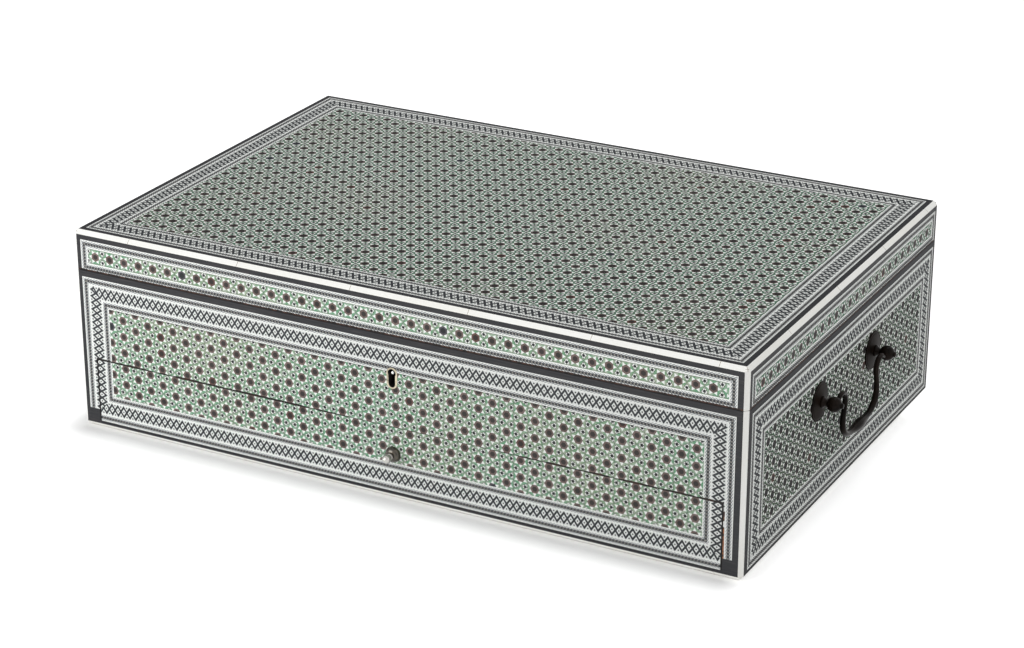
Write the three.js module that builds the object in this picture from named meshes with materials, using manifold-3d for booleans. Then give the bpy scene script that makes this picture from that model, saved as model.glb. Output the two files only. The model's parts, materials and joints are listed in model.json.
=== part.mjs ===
// Sadeli mosaic writing box: a deep body with a drawer in its lower front, a shallow
// hinged lid, swan-neck handles on the sides and a box lock behind the front.
// Millimetres, +Z up, front towards -Y, origin on the underside at the centre.

import * as THREE from 'three';
import { mergeVertices } from 'three/addons/utils/BufferGeometryUtils.js';
import Module from 'manifold-3d';

// Overall sizes of the closed box
const BOX_WIDTH = 500;
const BOX_DEPTH = 330;
const BOX_HEIGHT = 146;
const LID_HEIGHT = 29;
const SEAM_GAP = 0.4;

// Boards of the carcass and the lid
const WALL = 12;
const BASE_BOARD = 5.6;
const DECK_BOARD = 6;
const LID_BOARD = 7;
const LID_LINING = 2;

// Facing of mosaic and ebony, and the bone strips along the edges
const VENEER = 2;
const GLUE_LINE = 0.1;
const EDGE_LEG = 3;
const BASE_EDGE_LEG = 3.5;

// Drawer
const DRAWER_HEIGHT = 46.5;
const DRAWER_SIDE_GAP = 0.4;
const DRAWER_TOP_GAP = 0.3;
const DRAWER_FRONT = 10;
const DRAWER_SIDE = 6;
const DRAWER_SIDE_HEIGHT = 42;
const DRAWER_BACK = 5;
const DRAWER_BACK_GAP = 0.8;
const DRAWER_BOTTOM = 3;
const DRAWER_GROOVE_DEPTH = 2.5;
const DRAWER_GROOVE_RISE = 2.5;
const GROOVE_FIT = 0.15;
const KNOB_RISE = 26.8;
const KNOB_RADIUS = 5;
const KNOB_BALL_RADIUS = 4;
const KNOB_LENGTH = 11.2;
const KNOB_STEM_RADIUS = 2;
const KNOB_STEM_LENGTH = 10;

// Butt hinges
const HINGE_INSET = 100;
const HINGE_LENGTH = 56;
const LEAF_REACH = 11;
const LEAF_THICKNESS = 1.6;
const KNUCKLE_RADIUS = 3;
const KNUCKLE_STANDOFF = 0.4;
const KNUCKLE_COUNT = 5;
const KNUCKLE_GAP = 0.3;
const HINGE_PIN_RADIUS = 1.3;
const HINGE_PIN_FIT = 0.2;

// Box lock in the front wall and its link plate on the lid
const LOCK_WIDTH = 62;
const LOCK_HEIGHT = 42;
const LOCK_METAL = 1.5;
const SELVEDGE_REACH = 10.5;
const CASE_WIDTH = 54;
const CASE_HEIGHT = 37;
const CASE_DEPTH = 7;
const CASE_METAL = 1;
const LINK_INSET = 13;
const LINK_THICKNESS = 3;
const LINK_WIDTH = 5.2;
const LINK_DROP = 9;
const LINK_EYE_WIDTH = 2.8;
const LINK_EYE_HEIGHT = 3.6;
const LINK_EYE_RISE = 1.5;
const LINK_FIT = 0.5;
const BOLT_BAR_HEIGHT = 4;
const BOLT_BAR_DROP = 14;
const BOLT_ARM = 3;
const BOLT_PRONG_LENGTH = 5.5;
const BOLT_PRONG_HEIGHT = 2.5;
const BOLT_PRONG_THICKNESS = 2;
const BOLT_TIP_GAP = 0.6;
const BOLT_FIT = 0.3;
const BOLT_TAIL = 4.5;

// Keyhole
const KEYHOLE_TOP_DROP = 22.1;
const KEYHOLE_HEIGHT = 14.9;
const KEYHOLE_WIDTH = 7.9;
const LINER_METAL = 0.9;
const LINER_DEPTH = 5.2;
const LINER_PROUD = 0.2;
const KEY_SLOT_WIDTH = 5;
const LINER_FIT = 0.1;
const KEY_PIN_RADIUS = 1.1;
const KEY_PIN_LENGTH = 9;

// Swan-neck handles on the two sides
const HANDLE_SPACING = 94;
const HANDLE_HEIGHT = 77;
const HANDLE_STANDOFF = 10.6;
const ROSE_RADIUS = 13.5;
const ROSE_RIM = 0.9;
const ROSE_BEVEL = 0.6;
const ROSE_DOME = 1.3;
const ROSE_RINGS = 6;
const POST_STEM_RADIUS = 2.2;
const POST_STEM_LENGTH = 10;
const POST_COLLAR_RADIUS = 3.9;
const POST_COLLAR_LENGTH = 0.9;
const POST_NECK_RADIUS = 2.5;
const POST_NECK_SLOPE = 0.9;
const POST_BALL_FOOT_RADIUS = 2;
const POST_BALL_RADIUS = 4.6;
const POST_TIP_RADIUS = 1.9;
const POST_TIP_LENGTH = 1.6;
const STEM_FIT = 0.3;
const BAIL_PIN_RADIUS = 1.3;
const BAIL_PIN_FIT = 0.35;
const BAIL_PIN_REACH = 4;
const BAIL_BORE_REST = 0.8;
const BAIL_NECK_RADIUS = 1.6;
const BAIL_ARM_RADIUS = 2;
const BAIL_GRIP_RADIUS = 3.4;
const BAIL_DROP = 33;
const BAIL_CURL_RISE = 4.4;
const BAIL_CURL_REACH = 11.3;
const BAIL_WAIST = 19.4;
const BAIL_SHOULDER = 16.6;

// Fitted inside
const INK_WELL_DEPTH = 84;
const INK_WELL_WIDTH = 84;
const DIVIDER = 5;
const DIVIDER_DROP = 5.2;
const TRAY_LEDGE = 5;
const TRAY_HEIGHT = 18;
const TRAY_DROP = 9.9;
const TRAY_FIT = 0.5;
const TROUGH_WIDTH = 32;
const TROUGH_DEPTH = 12;
const TROUGH_MARGIN = 9;
const LEDGE_WIDTH = 6;
const LEDGE_HEIGHT = 7;
const BOARD_THICKNESS = 8;
const BOARD_DROP = 8;
const BOARD_FIT = 1.2;
const FINGER_RADIUS = 13;
const BOTTLE_SIZE = 54;
const BOTTLE_HEIGHT = 38;
const BOTTLE_CHAMFER = 7;
const BOTTLE_SHOULDER = 5;
const BOTTLE_NECK_RADIUS = 13;
const CAP_RADIUS = 17;
const CAP_HEIGHT = 11;
const REST_GAP = 0.3;

// Facets on round work
const FINE = 24;
const ROUND = 16;
const BALL_STEPS = 8;
const LINER_STEPS = 10;
const LINK_STEPS = 4;
const BAIL_SIDES = 10;
const BAIL_STEPS = 64;

// How far a cutting shape runs past the face that it cuts
const PAST = 1;

// Planes that the pieces share
const HALF_WIDTH = BOX_WIDTH / 2;
const HALF_DEPTH = BOX_DEPTH / 2;
const CORE_X = HALF_WIDTH - VENEER - GLUE_LINE;
const CORE_Y = HALF_DEPTH - VENEER - GLUE_LINE;
const INNER_X = CORE_X - WALL;
const INNER_Y = CORE_Y - WALL;
const EDGE_X = HALF_WIDTH - EDGE_LEG;
const EDGE_Y = HALF_DEPTH - EDGE_LEG;
const BODY_TOP = BOX_HEIGHT - LID_HEIGHT;
const LID_UNDERSIDE = BODY_TOP + SEAM_GAP;
const FACING_BOTTOM = BASE_EDGE_LEG + GLUE_LINE;
const LID_FACING_TOP = BOX_HEIGHT - EDGE_LEG;
const LID_BOARD_BOTTOM = BOX_HEIGHT - VENEER - GLUE_LINE - LID_BOARD;
const DRAWER_FLOOR = BASE_BOARD + DRAWER_TOP_GAP;
const DRAWER_TOP = DRAWER_FLOOR + DRAWER_HEIGHT;
const DECK_UNDERSIDE = DRAWER_TOP + DRAWER_TOP_GAP;
const DECK_TOP = DECK_UNDERSIDE + DECK_BOARD;

const finish = ( color, roughness, metalness = 0 ) => () =>
	new THREE.MeshStandardMaterial( { color, roughness, metalness } );
const FINISHES = {
	mosaic: finish( 0x93a08c, 0.42 ),
	bone: finish( 0xe8e4d4, 0.38 ),
	sandalwood: finish( 0x9a6b42, 0.55 ),
	teak: finish( 0x6f4526, 0.6 ),
	bronze: finish( 0x3b332c, 0.42, 0.85 ),
	brass: finish( 0xa88a52, 0.35, 0.95 ),
	velvet: finish( 0x5a1f2b, 0.95 ),
	glass: finish( 0xa9c4c0, 0.08 ),
	steel: finish( 0x77777a, 0.4, 0.9 ),
};

const wasm = await Module();
wasm.setup();
const box = new THREE.Group();

// Adds one named piece to the box.
function add( name, geometry, finishName ) {

	const mesh = new THREE.Mesh( geometry, FINISHES[ finishName ]() );
	mesh.name = name;
	box.add( mesh );

}

// A board between two opposite corners.
function board( low, high ) {

	const geometry = new THREE.BoxGeometry( 1, 1, 1 );
	const position = geometry.attributes.position;
	for ( let i = 0; i < position.count; i ++ ) {

		const side = [ position.getX( i ), position.getY( i ), position.getZ( i ) ];
		position.setXYZ( i, ...side.map( ( value, k ) => value < 0 ? low[ k ] : high[ k ] ) );

	}

	return geometry;

}

// A shape drawn across one axis and carried straight along it. Across x it is drawn in
// y and z, across y in x and z, and across z in x and y.
const ACROSS = {
	x: ( u, v, w, from ) => [ from + w, u, v ],
	y: ( u, v, w, from, to ) => [ u, to - w, v ],
	z: ( u, v, w, from ) => [ u, v, from + w ],
};

function prism( outline, axis, from, to, curveSegments = ROUND ) {

	const shape = Array.isArray( outline )
		? new THREE.Shape( outline.map( ( [ u, v ] ) => new THREE.Vector2( u, v ) ) )
		: outline;
	const geometry = new THREE.ExtrudeGeometry( shape, { depth: to - from, bevelEnabled: false, curveSegments } );
	const position = geometry.attributes.position;
	for ( let i = 0; i < position.count; i ++ ) {

		const at = ACROSS[ axis ]( position.getX( i ), position.getY( i ), position.getZ( i ), from, to );
		position.setXYZ( i, ...at );

	}

	return geometry;

}

// A round bar along x, y or z through a point, from one station to another.
function bar( radius, axis, centre, from, to, segments = ROUND ) {

	const geometry = new THREE.CylinderGeometry( radius, radius, to - from, segments );
	geometry.translate( 0, ( from + to ) / 2, 0 );
	if ( axis === 'x' ) geometry.rotateZ( - Math.PI / 2 );
	if ( axis === 'z' ) geometry.rotateX( Math.PI / 2 );
	return geometry.translate( ...centre );

}

function solid( geometry ) {

	const bare = geometry.clone();
	bare.deleteAttribute( 'normal' );
	bare.deleteAttribute( 'uv' );
	const merged = mergeVertices( bare, 1e-5 );
	return new wasm.Manifold( new wasm.Mesh( {
		numProp: 3,
		vertProperties: new Float32Array( merged.attributes.position.array ),
		triVerts: new Uint32Array( merged.index.array ),
	} ) );

}

function surface( manifold ) {

	const mesh = manifold.getMesh();
	const geometry = new THREE.BufferGeometry();
	geometry.setAttribute( 'position', new THREE.BufferAttribute( mesh.vertProperties, 3 ) );
	geometry.setIndex( new THREE.BufferAttribute( mesh.triVerts, 1 ) );
	geometry.computeVertexNormals();
	return geometry;

}

const joined = ( ...parts ) => surface( parts.map( solid ).reduce( ( a, b ) => a.add( b ) ) );
const cut = ( stock, ...tools ) => surface( tools.map( solid ).reduce( ( a, b ) => a.subtract( b ), solid( stock ) ) );
const shared = ( ...parts ) => surface( parts.map( solid ).reduce( ( a, b ) => a.intersect( b ) ) );

// Plan of a board whose four corners are rebated for the bone strips.
function rebatedPlan( x, y, rebateX, rebateY ) {

	return [
		[ - rebateX, - y ], [ rebateX, - y ], [ rebateX, - rebateY ], [ x, - rebateY ],
		[ x, rebateY ], [ rebateX, rebateY ], [ rebateX, y ], [ - rebateX, y ],
		[ - rebateX, rebateY ], [ - x, rebateY ], [ - x, - rebateY ], [ - rebateX, - rebateY ],
	];

}

// Plan of the box with its four upright corners planed to 45 degrees.
function planedPlan() {

	return [
		[ - EDGE_X, - HALF_DEPTH ], [ EDGE_X, - HALF_DEPTH ], [ HALF_WIDTH, - EDGE_Y ], [ HALF_WIDTH, EDGE_Y ],
		[ EDGE_X, HALF_DEPTH ], [ - EDGE_X, HALF_DEPTH ], [ - HALF_WIDTH, EDGE_Y ], [ - HALF_WIDTH, - EDGE_Y ],
	];

}

// Upright section of the box, planed by one leg at the bottom and another at the top.
function planedSection( half, bottom, top, bottomLeg, topLeg ) {

	return [
		[ - half + bottomLeg, bottom ], [ half - bottomLeg, bottom ], [ half, bottom + bottomLeg ], [ half, top - topLeg ],
		[ half - topLeg, top ], [ - half + topLeg, top ], [ - half, top - topLeg ], [ - half, bottom + bottomLeg ],
	].filter( ( point, i, all ) => {

		const [ u, v ] = all[ ( i + 1 ) % all.length ];
		return point[ 0 ] !== u || point[ 1 ] !== v;

	} );

}

// Outline of the keyhole liner: two upright sides and round ends.
function slotOutline( width, height, centreZ ) {

	const radius = width / 2;
	const reach = height / 2 - radius;
	const shape = new THREE.Shape();
	shape.absarc( 0, centreZ + reach, radius, 0, Math.PI, false );
	shape.absarc( 0, centreZ - reach, radius, Math.PI, 2 * Math.PI, false );
	return shape;

}

const KEYHOLE_TOP = BODY_TOP - KEYHOLE_TOP_DROP;
const KEYHOLE_MIDDLE = KEYHOLE_TOP - KEYHOLE_HEIGHT / 2;
const KEY_PIN_Z = KEYHOLE_TOP - KEYHOLE_WIDTH / 2;

const hingeZ = BODY_TOP + SEAM_GAP / 2;
const hingeY = HALF_DEPTH + KNUCKLE_RADIUS + KNUCKLE_STANDOFF;
const handleX = HALF_WIDTH + HANDLE_STANDOFF;

const LOCK_BACK = - INNER_Y;
const PLATE_FRONT = LOCK_BACK - LOCK_METAL;
const CASE_FRONT = PLATE_FRONT - GLUE_LINE - CASE_DEPTH;
const LINK_Y = ( PLATE_FRONT + CASE_FRONT + CASE_METAL ) / 2;
const SELVEDGE_FRONT = LOCK_BACK - SELVEDGE_REACH;

// Both gains, in the body's back and in the lid, take a hinge leaf and its glue line.
function hingeGain( centreX, low, high ) {

	const reach = HINGE_LENGTH / 2 + GLUE_LINE;
	return board( [ centreX - reach, HALF_DEPTH - LEAF_REACH - GLUE_LINE, low ], [ centreX + reach, hingeY, high ] );

}

const hingeCentres = [ - HALF_WIDTH + HINGE_INSET, HALF_WIDTH - HINGE_INSET ];
const bodyGains = () => hingeCentres.map( x => hingeGain( x, BODY_TOP - LEAF_THICKNESS - GLUE_LINE, LID_UNDERSIDE ) );
const lidGains = () => hingeCentres.map( x => hingeGain( x, BODY_TOP, LID_UNDERSIDE + LEAF_THICKNESS + GLUE_LINE ) );

function addCarcass() {

	const lowHalfX = HALF_WIDTH - BASE_EDGE_LEG;
	const lowHalfY = HALF_DEPTH - BASE_EDGE_LEG;
	add( 'base_board', joined(
		board( [ - lowHalfX, - lowHalfY, 0 ], [ lowHalfX, lowHalfY, FACING_BOTTOM ] ),
		prism( rebatedPlan( CORE_X, CORE_Y, EDGE_X, EDGE_Y ), 'z', FACING_BOTTOM, BASE_BOARD ),
	), 'teak' );

	const wallBottom = BASE_BOARD + GLUE_LINE;
	for ( const [ name, side ] of [ [ 'left', - 1 ], [ 'right', 1 ] ] ) {

		const plan = [
			[ INNER_X, - CORE_Y ], [ EDGE_X, - CORE_Y ], [ EDGE_X, - EDGE_Y ], [ CORE_X, - EDGE_Y ],
			[ CORE_X, EDGE_Y ], [ EDGE_X, EDGE_Y ], [ EDGE_X, CORE_Y ], [ INNER_X, CORE_Y ],
		].map( ( [ x, y ] ) => [ side * x, y ] );
		const holes = [ - 1, 1 ].map( end => bar( POST_STEM_RADIUS + STEM_FIT, 'x',
			[ 0, end * HANDLE_SPACING / 2, HANDLE_HEIGHT ], side > 0 ? INNER_X - PAST : - CORE_X - PAST,
			side > 0 ? CORE_X + PAST : - INNER_X + PAST ) );
		add( `${ name }_wall`, cut( prism( plan, 'z', wallBottom, BODY_TOP ), ...holes ), 'teak' );

	}

	const endX = INNER_X - GLUE_LINE;
	add( 'back_wall', cut( board( [ - endX, INNER_Y, wallBottom ], [ endX, CORE_Y, BODY_TOP ] ), ...bodyGains() ), 'teak' );
	add( 'front_wall', cut(
		board( [ - endX, - CORE_Y, DECK_UNDERSIDE ], [ endX, - INNER_Y, BODY_TOP ] ),
		board( [ - LOCK_WIDTH / 2 - GLUE_LINE, PLATE_FRONT - GLUE_LINE, BODY_TOP - LOCK_HEIGHT - GLUE_LINE ],
			[ LOCK_WIDTH / 2 + GLUE_LINE, LOCK_BACK + PAST, BODY_TOP + PAST ] ),
		board( [ - LOCK_WIDTH / 2 - GLUE_LINE, SELVEDGE_FRONT - GLUE_LINE, BODY_TOP - LOCK_METAL - GLUE_LINE ],
			[ LOCK_WIDTH / 2 + GLUE_LINE, LOCK_BACK + PAST, BODY_TOP + PAST ] ),
		board( [ - CASE_WIDTH / 2 - GLUE_LINE, CASE_FRONT - GLUE_LINE, BODY_TOP - LOCK_METAL - CASE_HEIGHT - 2 * GLUE_LINE ],
			[ CASE_WIDTH / 2 + GLUE_LINE, LOCK_BACK + PAST, BODY_TOP + PAST ] ),
		prism( slotOutline( KEYHOLE_WIDTH + 2 * LINER_FIT, KEYHOLE_HEIGHT + 2 * LINER_FIT, KEYHOLE_MIDDLE ), 'y',
			- CORE_Y - PAST, LOCK_BACK ),
	), 'teak' );
	add( 'drawer_deck', board( [ - endX, - INNER_Y + GLUE_LINE, DECK_UNDERSIDE ], [ endX, INNER_Y - GLUE_LINE, DECK_TOP ] ), 'teak' );

}

// Mosaic and ebony facings of the body, each a thin plate on its wall.
function addBodyFacings() {

	const outer = CORE_X + GLUE_LINE;
	const front = new THREE.Shape( [
		[ - EDGE_X, FACING_BOTTOM ], [ EDGE_X, FACING_BOTTOM ], [ EDGE_X, BODY_TOP ], [ - EDGE_X, BODY_TOP ],
	].map( p => new THREE.Vector2( ...p ) ) );
	front.holes.push( new THREE.Path( [
		[ - INNER_X, BASE_BOARD ], [ - INNER_X, DECK_UNDERSIDE ], [ INNER_X, DECK_UNDERSIDE ], [ INNER_X, BASE_BOARD ],
	].map( p => new THREE.Vector2( ...p ) ) ) );
	add( 'front_veneer', cut(
		prism( front, 'y', - HALF_DEPTH, - CORE_Y - GLUE_LINE ),
		prism( slotOutline( KEYHOLE_WIDTH + 2 * LINER_FIT, KEYHOLE_HEIGHT + 2 * LINER_FIT, KEYHOLE_MIDDLE ), 'y',
			- HALF_DEPTH - PAST, - CORE_Y + PAST ),
	), 'mosaic' );
	add( 'back_veneer', cut(
		board( [ - EDGE_X, CORE_Y + GLUE_LINE, FACING_BOTTOM ], [ EDGE_X, HALF_DEPTH, BODY_TOP ] ),
		...bodyGains(),
	), 'mosaic' );
	for ( const [ name, low, high ] of [ [ 'left', - HALF_WIDTH, - outer ], [ 'right', outer, HALF_WIDTH ] ] ) {

		const holes = [ - 1, 1 ].map( end => bar( POST_STEM_RADIUS + STEM_FIT, 'x',
			[ 0, end * HANDLE_SPACING / 2, HANDLE_HEIGHT ], low - PAST, high + PAST ) );
		add( `${ name }_veneer`, cut( board( [ low, - EDGE_Y, FACING_BOTTOM ], [ high, EDGE_Y, BODY_TOP ] ), ...holes ), 'mosaic' );

	}

}

// Bone strips: four uprights on the body and a mitred frame round its base.
function addBodyEdging() {

	const seatX = EDGE_X + GLUE_LINE;
	const seatY = EDGE_Y + GLUE_LINE;
	const reach = EDGE_LEG - 2 * GLUE_LINE;
	for ( const [ name, sx, sy ] of [ [ 'front_left', - 1, - 1 ], [ 'front_right', 1, - 1 ], [ 'back_left', - 1, 1 ], [ 'back_right', 1, 1 ] ] ) {

		const plan = [ [ seatX, seatY ], [ seatX + reach, seatY ], [ seatX, seatY + reach ] ];
		add( `corner_edging_${ name }`, prism( plan.map( ( [ x, y ] ) => [ sx * x, sy * y ] ), 'z', FACING_BOTTOM, BODY_TOP ), 'bone' );

	}

	const innerX = HALF_WIDTH - BASE_EDGE_LEG + GLUE_LINE;
	const innerY = HALF_DEPTH - BASE_EDGE_LEG + GLUE_LINE;
	add( 'base_edging', cut(
		shared(
			prism( planedPlan(), 'z', 0, BASE_EDGE_LEG ),
			prism( planedSection( HALF_WIDTH, 0, BASE_EDGE_LEG, BASE_EDGE_LEG, 0 ), 'y', - HALF_DEPTH, HALF_DEPTH ),
			prism( planedSection( HALF_DEPTH, 0, BASE_EDGE_LEG, BASE_EDGE_LEG, 0 ), 'x', - HALF_WIDTH, HALF_WIDTH ),
		),
		board( [ - innerX, - innerY, - PAST ], [ innerX, innerY, BASE_EDGE_LEG + PAST ] ),
	), 'bone' );

}

function addLid() {

	const frame = new THREE.Shape( rebatedPlan( CORE_X, CORE_Y, EDGE_X, EDGE_Y ).map( p => new THREE.Vector2( ...p ) ) );
	frame.holes.push( new THREE.Path( [
		[ - INNER_X, - INNER_Y ], [ - INNER_X, INNER_Y ], [ INNER_X, INNER_Y ], [ INNER_X, - INNER_Y ],
	].map( p => new THREE.Vector2( ...p ) ) ) );
	const linkGain = board(
		[ - LOCK_WIDTH / 2 - GLUE_LINE, SELVEDGE_FRONT - GLUE_LINE, LID_UNDERSIDE - PAST ],
		[ LOCK_WIDTH / 2 + GLUE_LINE, LOCK_BACK + PAST, LID_UNDERSIDE + LOCK_METAL + GLUE_LINE ] );
	add( 'lid_frame', cut( prism( frame, 'z', LID_UNDERSIDE, LID_BOARD_BOTTOM - GLUE_LINE ), linkGain, ...lidGains() ), 'teak' );
	add( 'lid_board', joined(
		prism( rebatedPlan( CORE_X, CORE_Y, EDGE_X, EDGE_Y ), 'z', LID_BOARD_BOTTOM, LID_FACING_TOP ),
		board( [ - EDGE_X, - EDGE_Y, LID_FACING_TOP ], [ EDGE_X, EDGE_Y, LID_BOARD_BOTTOM + LID_BOARD ] ),
	), 'teak' );
	const liningX = INNER_X - GLUE_LINE;
	const liningY = INNER_Y - GLUE_LINE;
	const liningTop = LID_BOARD_BOTTOM - GLUE_LINE;
	add( 'lid_lining', board( [ - liningX, - liningY, liningTop - LID_LINING ], [ liningX, liningY, liningTop ] ), 'velvet' );

	const outerX = CORE_X + GLUE_LINE;
	const outerY = CORE_Y + GLUE_LINE;
	add( 'lid_top_veneer', board( [ - EDGE_X, - EDGE_Y, BOX_HEIGHT - VENEER ], [ EDGE_X, EDGE_Y, BOX_HEIGHT ] ), 'mosaic' );
	add( 'lid_front_veneer', board( [ - EDGE_X, - HALF_DEPTH, LID_UNDERSIDE ], [ EDGE_X, - outerY, LID_FACING_TOP ] ), 'mosaic' );
	add( 'lid_back_veneer', cut(
		board( [ - EDGE_X, outerY, LID_UNDERSIDE ], [ EDGE_X, HALF_DEPTH, LID_FACING_TOP ] ), ...lidGains() ), 'mosaic' );
	add( 'lid_left_veneer', board( [ - HALF_WIDTH, - EDGE_Y, LID_UNDERSIDE ], [ - outerX, EDGE_Y, LID_FACING_TOP ] ), 'mosaic' );
	add( 'lid_right_veneer', board( [ outerX, - EDGE_Y, LID_UNDERSIDE ], [ HALF_WIDTH, EDGE_Y, LID_FACING_TOP ] ), 'mosaic' );

	const seatX = EDGE_X + GLUE_LINE;
	const seatY = EDGE_Y + GLUE_LINE;
	const seatZ = LID_FACING_TOP + GLUE_LINE;
	const low = LID_UNDERSIDE - PAST;
	const high = BOX_HEIGHT + PAST;
	add( 'lid_edging', cut(
		shared(
			prism( planedPlan(), 'z', LID_UNDERSIDE, BOX_HEIGHT ),
			prism( planedSection( HALF_WIDTH, LID_UNDERSIDE, BOX_HEIGHT, 0, EDGE_LEG ), 'y', - HALF_DEPTH, HALF_DEPTH ),
			prism( planedSection( HALF_DEPTH, LID_UNDERSIDE, BOX_HEIGHT, 0, EDGE_LEG ), 'x', - HALF_WIDTH, HALF_WIDTH ),
		),
		board( [ - seatX, - seatY, low ], [ seatX, seatY, high ] ),
		board( [ - seatX, - BOX_DEPTH, low ], [ seatX, BOX_DEPTH, seatZ ] ),
		board( [ - BOX_WIDTH, - seatY, low ], [ BOX_WIDTH, seatY, seatZ ] ),
	), 'bone' );

}

// A butt hinge: two leaves whose knuckles interleave on a pin behind the box.
function addHinge( side, centreX ) {

	const start = centreX - HINGE_LENGTH / 2;
	const pitch = HINGE_LENGTH / KNUCKLE_COUNT;
	const axis = [ 0, hingeY, hingeZ ];
	const knuckles = Array.from( { length: KNUCKLE_COUNT }, ( _, k ) => k );
	const barrel = ( k, radius, margin ) => bar( radius, 'x', axis, start + k * pitch - margin, start + ( k + 1 ) * pitch + margin );
	const leaf = ( name, parity, low, high ) => {

		const plate = board( [ start, HALF_DEPTH - LEAF_REACH, low ], [ start + HINGE_LENGTH, hingeY, high ] );
		const own = knuckles.filter( k => k % 2 === parity ).map( k => barrel( k, KNUCKLE_RADIUS, - KNUCKLE_GAP / 2 ) );
		const other = knuckles.filter( k => k % 2 !== parity ).map( k => barrel( k, KNUCKLE_RADIUS + KNUCKLE_GAP, KNUCKLE_GAP / 2 ) );
		const bore = bar( HINGE_PIN_RADIUS + HINGE_PIN_FIT, 'x', axis, start - PAST, start + HINGE_LENGTH + PAST );
		add( name, cut( joined( plate, ...own ), ...other, bore ), 'brass' );

	};

	leaf( `hinge_${ side }_body_leaf`, 0, BODY_TOP - LEAF_THICKNESS, BODY_TOP );
	leaf( `hinge_${ side }_lid_leaf`, 1, LID_UNDERSIDE, LID_UNDERSIDE + LEAF_THICKNESS );
	add( `hinge_${ side }_pin`, bar( HINGE_PIN_RADIUS, 'x', axis, start, start + HINGE_LENGTH ), 'steel' );

}

const linkCentres = [ LINK_INSET - CASE_WIDTH / 2, CASE_WIDTH / 2 - LINK_INSET ];

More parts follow.
